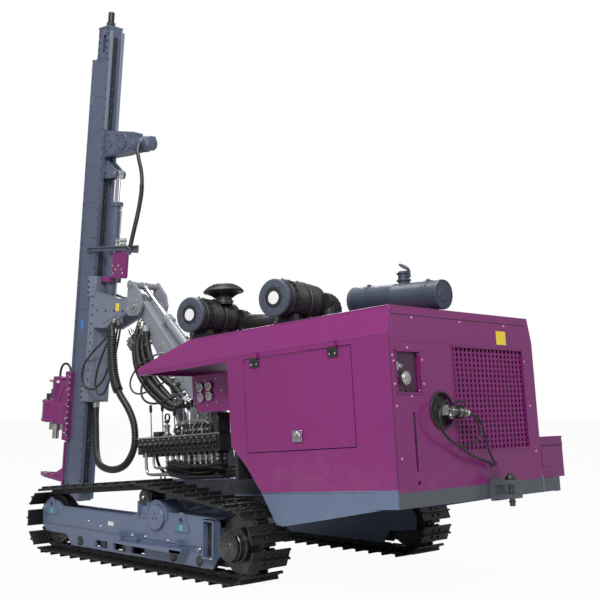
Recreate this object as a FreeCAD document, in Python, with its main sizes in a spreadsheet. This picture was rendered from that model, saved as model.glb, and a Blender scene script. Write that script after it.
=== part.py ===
import FreeCAD, Part
import math
import os
from types import SimpleNamespace
from FreeCAD import Placement, Rotation, Vector

# Crawler drilling rig: two crawler tracks carry a nose-down machine house, a boom and an upright mast.
# Millimetres. +X is forward, towards the mast, +Y is left and +Z is up. The tracks stand on Z = 0.

SIZES = (
    # name, millimetres or degrees, what it is
    ("shoe_pitch", 154, "distance from one track shoe to the next"),
    ("shoe_width", 400, "track shoe, across the track"),
    ("shoe_plate", 14, "track shoe, plate thickness"),
    ("grouser_height", 24, "bar that stands out of each shoe"),
    ("grouser_thick", 16, "bar of each shoe, thickness"),
    ("link_width", 150, "track chain, across"),
    ("link_height", 46, "track chain, from the wheel's tread to the shoe"),
    ("track_offset", 1035, "middle of each track from the machine's middle"),
    ("wheelbase", 2515, "sprocket centre to idler centre"),
    ("sprocket_radius", 220, "drive sprocket, where the chain lies"),
    ("idler_radius", 220, "front idler, where the chain lies"),
    ("wheel_width", 90, "sprocket and idler, width"),
    ("roller_radius", 62, "bottom roller"),
    ("roller_count", 6, "bottom rollers a side"),
    ("roller_pitch", 330, "bottom rollers, spacing"),
    ("roller_axle", 22, "axles of the rollers and the idler"),
    ("carrier_radius", 60, "top roller"),
    ("carrier_ahead", -110, "top roller, forward of the track's middle"),
    ("carrier_rise", 592, "top roller's centre above the ground"),
    ("hub_radius", 105, "cover of the track's drive motor"),
    ("hub_reach", 95, "cover of the track's drive motor, from the frame outward"),
    ("frame_plate", 26, "side plates of the track frame"),
    ("frame_half_gap", 62, "half the clear width between the track frame's plates"),
    ("frame_top", 430, "track frame's top face above the ground"),
    ("frame_bottom", 186, "track frame's lower edge above the ground"),
    ("frame_front", 1452, "track frame's front end"),
    ("frame_rear", -1040, "track frame's rear end"),
    ("frame_lift", 60, "how far the track frame's rear part stands over its front part"),
    ("guard_drop", 92, "how far the roller guards hang below the track frame"),
    ("tie_rise", 438, "tie-down eyes above the ground"),
    ("tie_lug", 50, "how far the front tie-down lug stands over the track frame"),
    ("tie_setback", 165, "front tie-down eye behind the track frame's front end"),
    ("step_rear", -700, "rear end of the step on the track frame"),
    ("step_length", 900, "step on the track frame"),
    ("step_reach", 100, "step, how far it stands out at its rear end"),
    ("step_taper", 38, "how much less the step stands out at its front end"),
    ("step_thick", 24, "step, thickness"),
    ("hump_radius", 140, "rounded hump round the axle's cover disc"),
    ("end_box_length", 132, "boxed end of the track frame, fore and aft"),
    ("end_box_reach", 50, "boxed end of the track frame, how far it stands out"),
    ("end_box_top", 476, "boxed end of the track frame, upper face above the ground"),
    ("end_box_bottom", 176, "boxed end of the track frame, lower face above the ground"),
    ("end_box_plate", 14, "boxed end of the track frame, plates"),
    ("disc_radius", 100, "cover disc of the cross axle"),
    ("axle_radius", 80, "cross axle between the tracks"),
    ("axle_ahead", -400, "cross axle, forward of the tracks' middle"),
    ("axle_rise", 470, "cross axle above the ground"),
    ("tie_bore", 22, "radius of the tie-down eyes"),
    ("house_pitch", 4.2, "degrees that the house leans nose-down over the tracks"),
    ("wall", 30, "panels and doors"),
    ("panel_gap", 6, "gap round a door"),
    ("house_rear", -2780, "rear face of the house"),
    ("house_left", 1065, "left face of the house"),
    ("house_right", -790, "right face of the house"),
    ("house_floor", 630, "lower edge of the panels"),
    ("cover_edge", 1650, "lower edge of the top cover"),
    ("cover_crease", 1692, "fold line along the top cover"),
    ("cover_top", 1890, "top of the cover"),
    ("cover_slant", 45, "how far the cover leans in above the fold"),
    ("cover_break", -655, "where the cover starts to slope down"),
    ("canopy_tip", 10, "front edge of the canopy"),
    ("canopy_tip_top", 1710, "top of the canopy at its front edge"),
    ("panel_front", -1150, "front edge of the side panel"),
    ("seat_gap", 0.3, "gap where a moving piece rests on what carries it"),
    ("lid_plate", 22, "track frame's lid, thick"),
    ("post_length", 120, "top roller's bracket plates, along the track"),
    ("end_plate", 30, "track frame's end plate, thick"),
    ("cross_tube_length", 90, "tube across the track frame, along the track"),
    ("cross_tube_height", 110, "tube across the track frame, high"),
    ("cross_tube_setback", 620, "tube across the track frame, behind the frame's front"),
    ("disc_thick", 26, "cover disc on the track frame, thick"),
    ("disc_ahead", 120, "cover disc, ahead of the cross axle"),
    ("disc_above", 4, "cover disc's middle above the tie-down eyes"),
    ("arm_thick", 12, "hose arm's bar, thick"),
    ("arm_height", 50, "hose arm's bar, high"),
    ("arm_back", 825, "hose arm's end behind the mast's rear face"),
    ("arm_length", 900, "hose arm's bar, long"),
    ("arm_root_length", 120, "hose arm's root on the mast's side, long"),
    ("arm_out", 25, "hose arm's bar out from the mast's side"),
    ("arm_above", 270, "hose arm above the cradle's top"),
    ("tab_length", 60, "tab at the hose arm's end, long"),
    ("tab_reach", 117, "tab at the hose arm's end, out from the bar's inner face"),
    ("tab_height", 32, "tab at the hose arm's end, high"),
    ("tab_drop", 30, "tab's foot below the bar's foot"),
    ("ferrule_length", 70, "metal ends of the hoses, long"),
    ("ferrule_margin", 6, "metal ends' radius over the hose's"),
    ("elbow_radius", 36, "coupling's elbow, radius"),
    ("stub_radius", 32, "coupling's stub, radius"),
    ("tube_radius", 26, "coupling's tube, radius"),
    ("nut_radius", 44, "coupling's nut, radius"),
    ("nut_length", 58, "coupling's nut, long"),
    ("nut_from_elbow", 118, "coupling's nut, from the elbow's middle"),
    ("cap_radius", 46, "filler cap, radius"),
    ("cap_depth", 42, "filler cap, deep"),
    ("hinge_radius", 9, "door hinges"),
    ("hinge_out", 11, "door hinges' axis outside the panel"),
    ("hinge_rise", 1641, "door hinges' axis"),
    ("door_front", -1340, "front edge of the side door"),
    ("door_rear", -2445, "rear edge of the side door"),
    ("door_bottom", 935, "lower edge of the side door"),
    ("beam_top", 612, "top of the rear beam"),
    ("beam_height", 108, "rear beam, height"),
    ("beam_depth", 120, "rear beam, fore and aft"),
    ("beam_right", -1035, "right end of the rear beam"),
    ("deck_front", -40, "front edge of the deck"),
    ("deck_bottom", 500, "lower face of the deck"),
    ("deck_top", 730, "upper face of the deck"),
    ("chassis_half", 620, "half the chassis width"),
    ("chassis_front", 560, "front end of the chassis"),
    ("boom_foot_ahead", 330, "boom foot pin, forward"),
    ("boom_foot_rise", 1365, "boom foot pin, up"),
    ("boom_length", 1425, "boom, pin to pin"),
    ("boom_angle", 51.5, "boom above the house's floor line, degrees"),
    ("boom_half_width", 90, "half the boom's width"),
    ("boom_depth", 230, "boom, lower face to upper face"),
    ("pin_radius", 35, "boom pins"),
    ("pin_clearance", 0.5, "running clearance of the pins"),
    ("eye_pin_radius", 24, "pins at the cylinders' rod eyes"),
    ("eye_radius", 42, "cylinders' rod eyes"),
    ("eye_margin", 6, "how much wider a rod's eye is than the rod, each side"),
    ("pin_head", 10, "how far a pin stands out of its ear"),
    ("lift_ear_plate", 24, "ear plates of the two cylinders on the boom"),
    ("ear_plate", 34, "ear plates beside the boom"),
    ("ear_gap", 10, "clear gap between a moving piece and the ears beside it"),
    ("lift_foot_ahead", 565, "lift cylinder's lower pin, forward"),
    ("lift_foot_rise", 850, "lift cylinder's lower pin, up"),
    ("lift_eye_along", 760, "lift cylinder's upper pin, along the boom"),
    ("lift_eye_below", 175, "lift cylinder's upper pin, under the boom's line"),
    ("lift_barrel_radius", 52, "lift cylinder's barrel"),
    ("lift_barrel_length", 620, "lift cylinder's barrel, from its pin"),
    ("lift_rod_radius", 28, "lift cylinder's rod"),
    ("lift_rod_length", 570, "lift cylinder's rod, from its eye"),
    ("tilt_foot_along", 345, "tilt cylinder's rear pin, along the boom"),
    ("tilt_foot_above", 217, "tilt cylinder's rear pin, over the boom's line"),
    ("tilt_barrel_radius", 48, "tilt cylinder's barrel"),
    ("tilt_barrel_length", 780, "tilt cylinder's barrel, from its pin"),
    ("tilt_rod_radius", 24, "tilt cylinder's rod"),
    ("tilt_rod_length", 560, "tilt cylinder's rod, from its eye"),
    ("mast_lean", 4.8, "degrees that the mast leans back"),
    ("mast_setback", 900, "boom head pin to the mast's rear face"),
    ("mast_pin_rise", 2440, "boom head pin above the mast frame's foot"),
    ("mast_depth", 250, "mast, rear face to front face"),
    ("mast_half_width", 83, "half the mast's width"),
    ("mast_wall", 14, "mast's plates"),
    ("mast_bottom", 330, "mast's lower end above its frame's foot"),
    ("mast_shoulder", 5190, "where the mast's head begins"),
    ("mast_top", 5550, "mast's upper end"),
    ("mast_head_depth", 205, "mast's head, rear face to front face"),
    ("rail_depth", 30, "guide rails on the mast"),
    ("rail_half_width", 95, "outer edge of the guide rails"),
    ("rail_inner", 52, "inner edge of the guide rails"),
    ("slide_gap", 0.4, "clear gap between a slide and its rail"),
    ("cradle_below", 1040, "lower end of the mast's cradle below the boom head pin"),
    ("cradle_above", 320, "upper end of the mast's cradle above the boom head pin"),
    ("cradle_depth", 105, "cradle channel, fore and aft"),
    ("cradle_half_width", 125, "half the cradle's width"),
    ("swing_plane", 775, "swing joint's face behind the mast's rear face"),
    ("swing_above", 30, "swing pin above the boom head pin"),
    ("swing_disc_radius", 115, "swing joint's discs"),
    ("swing_disc_thick", 28, "swing joint's discs, thickness"),
    ("head_plate_offset", 165, "middle of each boom head plate from the middle plane"),
    ("tilt_eye_back", 815, "tilt cylinder's front pin behind the mast's rear face"),
    ("tilt_eye_above", 225, "tilt cylinder's front pin above the boom head pin"),
    ("shift_setback", 235, "mast shift cylinder behind the mast's rear face"),
    ("shift_barrel_radius", 55, "mast shift cylinder's barrel"),
    ("shift_barrel_length", 1267, "mast shift cylinder's barrel"),
    ("shift_barrel_sunk", 460, "mast shift cylinder's barrel, from the cradle's upper end down"),
    ("shift_rod_radius", 30, "mast shift cylinder's rod"),
    ("shift_eye_rise", 3880, "mast shift cylinder's rod eye"),
    ("gear_rise", 4215, "feed gear case, middle"),
    ("gear_depth", 500, "feed gear case, fore and aft"),
    ("gear_half_width", 65, "half the feed gear case's width"),
    ("motor_radius", 78, "feed motor"),
    ("motor_length", 250, "feed motor"),
    ("chain_width", 44, "feed chain"),
    ("chain_thick", 20, "feed chain, thickness"),
    ("drill_axis", 650, "drill string in front of the mast's rear face"),
    ("sled_bottom", 940, "head sled, lower end"),
    ("sled_top", 1700, "head sled, upper end"),
    ("sled_plate", 60, "head sled, front plate"),
    ("guide_rise", 480, "rod guide plate above the mast frame's foot"),
    ("guide_plate", 40, "rod guide plate"),
    ("rod_bore", 46, "radius of the rod guide's bore"),
    ("spindle_radius", 38, "drill spindle"),
    ("head_top", 1350, "gear case of the rotation head, upper face"),
    ("head_bottom", 1110, "gear case of the rotation head, lower face"),
    ("head_radius", 160, "gear case of the rotation head"),
    ("muffler_radius", 112, "exhaust silencer"),
    ("muffler_length", 880, "exhaust silencer"),
    ("muffler_rear", -2590, "exhaust silencer's rear end"),
    ("muffler_left", 110, "exhaust silencer from the middle plane"),
    ("muffler_rise", 2055, "exhaust silencer's centre line at its rear end"),
    ("muffler_tilt", 4.5, "exhaust silencer, front end up, degrees"),
    ("outlet_radius", 42, "exhaust outlet"),
    ("flap_open", 38, "how far the rain flap stands open, degrees"),
    ("filter_radius", 145, "air filters"),
    ("filter_length", 500, "air filters"),
    ("filter_left", 950, "outer ends of the air filters"),
    ("filter_rise", 2110, "air filters' centre line"),
    ("filter_front", -590, "front air filter"),
    ("filter_back", -1600, "rear air filter"),
    ("filter_turn", 8, "degrees that the filters turn to the rear"),
    ("rain_cap_radius", 175, "intake's rain cap"),
    ("console_left", 700, "valve bank's outer face"),
    ("console_front", 520, "valve bank's front end"),
    ("console_length", 1130, "valve bank"),
    ("console_bottom", 970, "valve bank's lower face"),
    ("console_height", 140, "valve bank, height"),
    ("console_depth", 150, "valve bank, across"),
    ("lever_radius", 7, "levers"),
    ("gauge_radius", 34, "gauge rims"),
    ("box_length", 300, "toolbox, fore and aft"),
    ("box_height", 328, "toolbox, height"),
    ("box_lid", 60, "toolbox lid, height"),
    ("box_right", -1165, "toolbox's right face"),
    ("engine_length", 1150, "engine block, fore and aft"),
    ("engine_width", 700, "engine block, across"),
    ("engine_height", 820, "engine block, height"),
    ("grille_columns", 18, "holes across the grille"),
    ("grille_rows", 20, "holes up the grille"),
    ("grille_hole_width", 28, "grille hole, across"),
    ("grille_hole_height", 26, "grille hole, up"),
    ("grille_left", 330, "left edge of the grille"),
    ("grille_right", -635, "right edge of the grille"),
    ("grille_bottom", 865, "lower edge of the grille"),
    ("grille_top", 1652, "upper edge of the grille"),
    ("port_radius", 122, "round opening in the rear panel"),
    ("cable_radius", 8, "cable on the rear panel"),
    ("bundle_radius", 30, "hose bundle from the deck to the mast"),
    ("hose_radius", 20, "hose of the feed motor"),
    ("small_hose_radius", 13, "hose of the rotation head"),
    ("hitch_bore", 21, "radius of the tow hitch's bore"),
    ("hitch_left", -110, "tow hitch from the middle plane"),
    ("hitch_reach", 185, "tow hitch behind the rear beam"),
    ("hitch_gap", 70, "clear gap of the tow hitch"),
    ("hitch_plate", 34, "tow hitch's plates"),
)

doc = FreeCAD.newDocument("crawler_drill_rig")
sheet = doc.addObject("Spreadsheet::Sheet", "Sizes")
for row, (name, value, meaning) in enumerate(SIZES, start=1):
    sheet.set(f"A{row}", meaning)
    sheet.set(f"B{row}", str(value))
    sheet.setAlias(f"B{row}", name)
doc.recompute()
d = SimpleNamespace(**{name: float(sheet.get(name)) for name, value, meaning in SIZES})

# A profile is drawn flat and then turned: seen from above, from the left side, or from behind.
VIEWS = {
    "plan": Rotation(),
    "side": Rotation(Vector(1, 0, 0), 90),
    "front": Rotation(Vector(1, 1, 1), 120),
}
# An axis is a cylinder's direction.
AXES = {
    "x": Rotation(Vector(0, 1, 0), 90),
    "y": Rotation(Vector(1, 0, 0), -90),
    "z": Rotation(),
}

HOUSE_PIVOT = Vector(d.axle_ahead, 0, d.axle_rise)
GROUND = Placement()
HOUSE = Placement(Vector(), Rotation(Vector(0, 1, 0), d.house_pitch), HOUSE_PIVOT)


def along_boom(distance, above=0.0):
    """A point of the boom, in the house's frame, from the foot pin along the pin line."""
    turn = math.radians(d.boom_angle)
    return Vector(
        d.boom_foot_ahead + distance * math.cos(turn) - above * math.sin(turn),
        0,
        d.boom_foot_rise + distance * math.sin(turn) + above * math.cos(turn),
    )

BOOM_TIP = HOUSE.multVec(along_boom(d.boom_length))
LEAN = Rotation(Vector(0, 1, 0), -d.mast_lean)
MAST = Placement(BOOM_TIP - LEAN.multVec(Vector(-d.mast_setback, 0, d.mast_pin_rise)), LEAN)

# Heights on the boom head and the cradle follow the boom head pin.
SWING_RISE = d.mast_pin_rise + d.swing_above
TILT_EYE_RISE = d.mast_pin_rise + d.tilt_eye_above
CRADLE_BOTTOM = d.mast_pin_rise - d.cradle_below
CRADLE_TOP = d.mast_pin_rise + d.cradle_above
CRADLE_LONG = "Sizes.cradle_below + Sizes.cradle_above"
SHIFT_BOTTOM = CRADLE_TOP - d.shift_barrel_sunk

nodes = []


def node(label, piece, frame=GROUND):
    """Names a finished piece and sets it in its frame."""
    piece.Label = label
    piece.Placement = frame.multiply(piece.Placement)
    nodes.append(piece)
    return piece


def bind(piece, **sizes):
    """Ties a piece's properties to cells of the sheet."""
    for name, text in sizes.items():
        piece.setExpression(name, text)


def box(name, at, length, width, height):
    piece = doc.addObject("Part::Box", name)
    bind(piece, Length=length, Width=width, Height=height)
    piece.Placement = Placement(Vector(*at), Rotation())
    return piece


def rod(name, at, radius, height, axis="z", turn=None):
    """A cylinder that starts at a point and runs along an axis."""
    piece = doc.addObject("Part::Cylinder", name)
    bind(piece, Radius=radius, Height=height)
    piece.Placement = Placement(Vector(*at), turn or AXES[axis])
    return piece


def draw(outline):
    """A closed outline as straight lines."""
    corners = [Vector(u, v, 0) for u, v in outline]
    return [Part.LineSegment(start, end) for start, end in zip(corners, corners[1:] + corners[:1])]


def prism(name, view, at, length, outline, holes=(), rounds=()):
    """A pad of an outline. Holes are outlines; rounds are (u, v, radius)."""
    body = doc.addObject("PartDesign::Body", name)
    sketch = body.newObject("Sketcher::SketchObject", name + "_outline")
    plane = next(f for f in body.Origin.OriginFeatures if f.Role == "XY_Plane")
    sketch.AttachmentSupport = (plane, [""])
    sketch.MapMode = "FlatFace"
    lines = draw(outline)
    for hole in holes:
        lines += draw(hole)
    lines += [Part.Circle(Vector(u, v, 0), Vector(0, 0, 1), radius) for u, v, radius in rounds]
    sketch.addGeometry(lines, False)
    pad = body.newObject("PartDesign::Pad", name + "_pad")
    pad.Profile = sketch
    bind(pad, Length=length)
    body.Tip = pad
    body.Placement = Placement(Vector(*at), VIEWS[view])
    return body


def fuse(name, *pieces):
    joined = doc.addObject("Part::MultiFuse", name)
    joined.Shapes = list(pieces)
    return joined


def cut(name, base, *tools):
    tool = tools[0] if len(tools) == 1 else fuse(name + "_tools", *tools)
    piece = doc.addObject("Part::Cut", name)
    piece.Base = base
    piece.Tool = tool
    return piece


def group(name, *pieces):
    together = doc.addObject("Part::Compound", name)
    together.Links = list(pieces)
    return together


def solid(name, shape):
    piece = doc.addObject("Part::Feature", name)
    piece.Shape = shape
    return piece


def rect(left, low, right, high):
    return [(left, low), (right, low), (right, high), (left, high)]


def ferrule(name, end, before, radius, length):
    """A hose's metal end: it starts a seat gap past the hose's end and runs on the same way."""
    heading = (Vector(*end) - Vector(*before)).normalize()
    start = Vector(*end) + heading * d.seat_gap
    return rod(name, start, radius, length, turn=Rotation(Vector(0, 0, 1), heading))


# Track geometry: a belt round the sprocket, the idler and the top roller.

TRACK_RISE = d.grouser_height + d.shoe_plate + d.link_height
SPROCKET = (-d.wheelbase / 2, TRACK_RISE + d.sprocket_radius)
IDLER = (d.wheelbase / 2, TRACK_RISE + d.idler_radius)
CARRIER = (d.carrier_ahead, d.carrier_rise)
WHEELS = (
    (SPROCKET, d.sprocket_radius),
    (IDLER, d.idler_radius),
    (CARRIER, d.carrier_radius),
)


def belt():
    """The chain's path over the treads, as (length, start, direction, radius, centre) stretches."""
    normals = []
    for (one, one_radius), (two, two_radius) in zip(WHEELS, WHEELS[1:] + WHEELS[:1]):
        gap_x, gap_z = two[0] - one[0], two[1] - one[1]
        heading = math.atan2(gap_z, gap_x)
        normals.append(heading - math.acos((one_radius - two_radius) / math.hypot(gap_x, gap_z)))
    stretches = []
    for place, (centre, radius) in enumerate(WHEELS):
        arrive, leave = normals[place - 1], normals[place]
        turn = (leave - arrive) % (2 * math.pi)
        stretches.append((turn * radius, centre, arrive, radius))
        following, next_radius = WHEELS[(place + 1) % len(WHEELS)]
        run = math.hypot(following[0] - centre[0], following[1] - centre[1])
        straight = math.sqrt(run ** 2 - (radius - next_radius) ** 2)
        start = (centre[0] + radius * math.cos(leave), centre[1] + radius * math.sin(leave))
        stretches.append((straight, start, leave, 0))
    return stretches

STRETCHES = belt()


def belt_point(distance, height):
    """A point of the belt at a distance along it, and a height outside the treads."""
    for length, anchor, normal, radius in STRETCHES:
        if distance <= length:
            break
        distance -= length
    if radius:
        angle = normal + distance / radius
        return (
            anchor[0] + (radius + height) * math.cos(angle),
            anchor[1] + (radius + height) * math.sin(angle),
        )
    return (
        anchor[0] - distance * math.sin(normal) + height * math.cos(normal),
        anchor[1] + distance * math.cos(normal) + height * math.sin(normal),
    )


def around_wheels(height):
    """A loop at a height outside the treads; its straight pieces touch that height's line."""
    points = []
    for length, centre, normal, radius in STRETCHES:
        if radius:
            steps = max(2, round(length / radius / 0.3))
            step = length / radius / steps
            for index in range(steps):
                angle = normal + (index + 0.5) * step
                reach = (radius + height) / math.cos(step / 2)
                points.append((centre[0] + reach * math.cos(angle), centre[1] + reach * math.sin(angle)))
    return points


def shoe_line():
    """The loop's outer line: a flat plate with one bar to each shoe."""
    around = sum(stretch[0] for stretch in STRETCHES)
    shoes = int(around // d.shoe_pitch)
    step = around / shoes
    plate = d.link_height + d.shoe_plate
    half_bar = d.grouser_thick / 2
    line = []
    for shoe in range(shoes):
        middle = (shoe + 0.5) * step
        foot = Vector(*belt_point(middle, plate), 0)
        out = (Vector(*belt_point(middle, plate + 1), 0) - foot).normalize()
        along = Vector(-out.y, out.x, 0)
        line.append(belt_point(shoe * step, plate))
        for place, rise in ((-half_bar, 0), (-half_bar, 1), (half_bar, 1), (half_bar, 0)):
            corner = foot + along * place + out * (rise * d.grouser_height)
            line.append((corner.x, corner.y))
    return line


def track(name, side):
    left = side * d.track_offset
    shoes = prism(name + "_shoes", "side", (0, left + d.shoe_width / 2, 0), "Sizes.shoe_width",
                  shoe_line(), holes=[around_wheels(d.link_height)])
    chain = prism(name + "_links", "side", (0, left + d.link_width / 2, 0), "Sizes.link_width",
                  around_wheels(d.link_height + 2), holes=[around_wheels(0)])
    return fuse(name + "_loop", shoes, chain)


node("track_left", track("track_left", 1))
node("track_right", track("track_right", -1))


def both_sides(make):
    """Makes a piece on the left track and again on the right one."""
    return [make(side) for side in (1, -1)]


def wheel_set(side):
    """Sprocket with its motor, idler, top roller and bottom rollers of one track, on their axles."""
    tag = "left" if side > 0 else "right"
    middle = side * d.track_offset
    start = middle - d.wheel_width / 2
    width = "Sizes.wheel_width"
    axle_start = middle - d.frame_half_gap
    axle = "2 * Sizes.frame_half_gap"
    reach = "Sizes.frame_half_gap + Sizes.frame_plate + Sizes.hub_reach"
    hub_start = middle if side > 0 else middle - d.frame_half_gap - d.frame_plate - d.hub_reach
    sprocket = fuse(
        f"sprocket_{tag}",
        rod(f"sprocket_wheel_{tag}", (SPROCKET[0], start, SPROCKET[1]), "Sizes.sprocket_radius", width, "y"),
        rod(f"drive_hub_{tag}", (SPROCKET[0], hub_start, SPROCKET[1]), "Sizes.hub_radius", reach, "y"),
        rod(f"drive_motor_{tag}", (SPROCKET[0], axle_start, SPROCKET[1]), "0.7 * Sizes.hub_radius",
            axle, "y"),
    )
    idler = fuse(
        f"idler_{tag}",
        rod(f"idler_wheel_{tag}", (IDLER[0], start, IDLER[1]), "Sizes.idler_radius", width, "y"),
        rod(f"idler_axle_{tag}", (IDLER[0], axle_start, IDLER[1]), "Sizes.roller_axle", axle, "y"),
    )
    rollers = [
        rod(f"carrier_{tag}", (CARRIER[0], start, CARRIER[1]), "Sizes.carrier_radius", width, "y"),
        rod(f"carrier_axle_{tag}", (CARRIER[0], axle_start, CARRIER[1]), "Sizes.roller_axle", axle, "y"),
    ]
    count = int(d.roller_count)
    for index in range(count):
        ahead = (index - (count - 1) / 2) * d.roller_pitch
        rise = TRACK_RISE + d.roller_radius
        rollers.append(rod(f"roller_{tag}_{index}", (ahead, start, rise), "Sizes.roller_radius", width, "y"))
        rollers.append(rod(f"roller_axle_{tag}_{index}", (ahead, axle_start, rise), "Sizes.roller_axle",
                           axle, "y"))
    return sprocket, idler, fuse(f"rollers_{tag}", *rollers)


left_wheels, right_wheels = both_sides(wheel_set)
node("track_wheels", group("wheel_sets", *left_wheels, *right_wheels))


def track_frame(side):
    """Two cheeks under a lid, a carrier bracket, motor plate, end plate, disc, step and tie-down eyes."""
    tag = "left" if side > 0 else "right"
    inside = d.frame_half_gap
    outside = inside + d.frame_plate
    middle = side * d.track_offset
    lift, low = d.frame_lift, d.frame_bottom - d.guard_drop
    window = [rect(x, low + 22, x + d.roller_pitch * 0.55, d.frame_bottom - 12)
              for x in (-d.roller_pitch * 0.35, d.roller_pitch * 0.45, d.roller_pitch * 1.25)]
    cheek = [
        (d.frame_rear, d.frame_bottom), (d.frame_rear + 60, low), (d.frame_front - 480, low),
        (d.frame_front - 400, d.frame_bottom), (d.frame_front - 70, d.frame_bottom),
        (d.frame_front, d.frame_bottom + 70),
        (d.frame_front, d.frame_top - 25), (d.frame_front - 90, d.frame_top + d.tie_lug),
        (d.frame_front - 250, d.frame_top + d.tie_lug), (d.frame_front - 330, d.frame_top),
        (d.axle_ahead + 320, d.frame_top), (d.axle_ahead + 250, d.frame_top + lift),
        (d.frame_rear + 60, d.frame_top + lift), (d.frame_rear, d.frame_top + lift / 2),
    ]
    eyes = [(d.frame_front - d.tie_setback, d.tie_rise, d.tie_bore),
            (d.axle_ahead - 200, d.tie_rise, d.tie_bore)]
    outer_left = middle + outside if side > 0 else middle - inside
    inner_left = middle - inside if side > 0 else middle + outside
    motor_plate = [
        (SPROCKET[0] - 110, SPROCKET[1] - 60), (d.frame_rear + 90, d.frame_bottom + 10),
        (d.frame_rear + 90, d.frame_top + lift - 20), (SPROCKET[0] - 60, SPROCKET[1] + 110),
        (SPROCKET[0] - 110, SPROCKET[1] + 60),
    ]
    face = middle + side * outside
    step_front = d.step_rear + d.step_length
    step = [
        (d.step_rear, face), (step_front, face), (step_front, face + side * (d.step_reach - d.step_taper)),
        (d.step_rear + 140, face + side * d.step_reach), (d.step_rear, face + side * d.step_reach),
    ]
    disc_spot = (d.axle_ahead + d.disc_ahead, d.tie_rise + d.disc_above)
    hump = [(disc_spot[0] + d.hump_radius * math.cos(turn), disc_spot[1] + d.hump_radius * math.sin(turn))
            for turn in (math.radians(15 * step_index) for step_index in range(13))]
    end_out = face if side > 0 else face - d.end_box_reach
    pieces = [
        prism(f"cheek_outer_{tag}", "side", (0, outer_left, 0), "Sizes.frame_plate", cheek,
              holes=window, rounds=eyes),
        prism(f"cheek_inner_{tag}", "side", (0, inner_left, 0), "Sizes.frame_plate", cheek),
        prism(f"motor_plate_{tag}", "side", (0, inner_left, 0), "Sizes.frame_plate", motor_plate),
        box(f"frame_lid_{tag}", (d.frame_rear + 60, middle - inside, d.frame_top + lift - d.lid_plate),
            "Sizes.axle_ahead - Sizes.frame_rear + 190", "2 * Sizes.frame_half_gap", "Sizes.lid_plate"),
        box(f"carrier_post_outer_{tag}",
            (CARRIER[0] - d.post_length / 2, middle + inside, d.frame_top - 20),
            "Sizes.post_length", "Sizes.frame_plate", "Sizes.carrier_rise - Sizes.frame_top + 60"),
        box(f"carrier_post_inner_{tag}",
            (CARRIER[0] - d.post_length / 2, middle - outside, d.frame_top - 20),
            "Sizes.post_length", "Sizes.frame_plate", "Sizes.carrier_rise - Sizes.frame_top + 60"),
        box(f"end_plate_{tag}", (d.frame_rear + 12, middle - inside, d.frame_bottom + 40),
            "Sizes.end_plate", "2 * Sizes.frame_half_gap", "Sizes.frame_top - Sizes.frame_bottom - 60"),
        box(f"cross_tube_{tag}",
            (d.frame_front - d.cross_tube_setback, middle - inside, d.frame_bottom + 60),
            "Sizes.cross_tube_length", "2 * Sizes.frame_half_gap", "Sizes.cross_tube_height"),
        rod(f"disc_{tag}", (disc_spot[0], face if side > 0 else face - d.disc_thick, disc_spot[1]),
            "Sizes.disc_radius", "Sizes.disc_thick", "y"),
        prism(f"step_{tag}", "plan", (0, 0, d.frame_bottom + 6), "Sizes.step_thick", step),
        prism(f"hump_{tag}", "side", (0, middle + outside, 0),
              "2 * (Sizes.frame_half_gap + Sizes.frame_plate)", hump),
        cut(f"end_box_{tag}",
            box(f"end_box_outer_{tag}", (d.frame_rear + 4, end_out, d.end_box_bottom), "Sizes.end_box_length",
                "Sizes.end_box_reach", "Sizes.end_box_top - Sizes.end_box_bottom"),
            box(f"end_box_inner_{tag}",
                (d.frame_rear + 4 + d.end_box_plate, end_out - 5, d.end_box_bottom + d.end_box_plate),
                "Sizes.end_box_length - 2 * Sizes.end_box_plate", "Sizes.end_box_reach + 10",
                "Sizes.end_box_top - Sizes.end_box_bottom - 2 * Sizes.end_box_plate")),
    ]
    return fuse(f"track_frame_{tag}", *pieces)


frame_left, frame_right = both_sides(track_frame)
axle = rod("cross_axle", (d.axle_ahead, -d.track_offset + d.frame_half_gap + d.frame_plate, d.axle_rise),
           "Sizes.axle_radius", "2 * (Sizes.track_offset - Sizes.frame_half_gap - Sizes.frame_plate)", "y")
node("track_frames", group("frames_on_axle", frame_left, frame_right, axle))


# Machine house: everything here is drawn in the house's own frame and leans with it.

HOUSE_LENGTH = "Sizes.canopy_tip - Sizes.house_rear"
HOUSE_WIDTH = "Sizes.house_left - Sizes.house_right"


def house_top(name, inset):
    """The top cover's outer or inner body, with its sides leaning in above the fold."""
    floor = d.cover_edge - inset
    profile = [
        (d.house_rear + inset, floor), (d.canopy_tip - inset, floor),
        (d.canopy_tip - inset, d.canopy_tip_top - inset), (d.cover_break, d.cover_top - inset),
        (d.house_rear + inset, d.cover_top - inset),
    ]
    width = f"{HOUSE_WIDTH} - 2 * {inset}"
    body = prism(name, "side", (0, d.house_left - inset, 0), width, profile)
    rise = d.cover_top - d.cover_crease
    lean = d.cover_slant / rise
    wedges = []
    for side, edge in ((1, d.house_left - inset), (-1, d.house_right + inset)):
        wedge = [
            (edge, d.cover_crease), (edge + side * 60, d.cover_crease),
            (edge + side * 60, d.cover_top + 60),
            (edge - side * lean * (rise + 60), d.cover_top + 60),
        ]
        spot = (d.house_rear - 60, 0, 0)
        wedges.append(prism(f"{name}_side{side + 1}", "front", spot, f"{HOUSE_LENGTH} + 120", wedge))
    return cut(name + "_leaning", body, *wedges)

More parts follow.
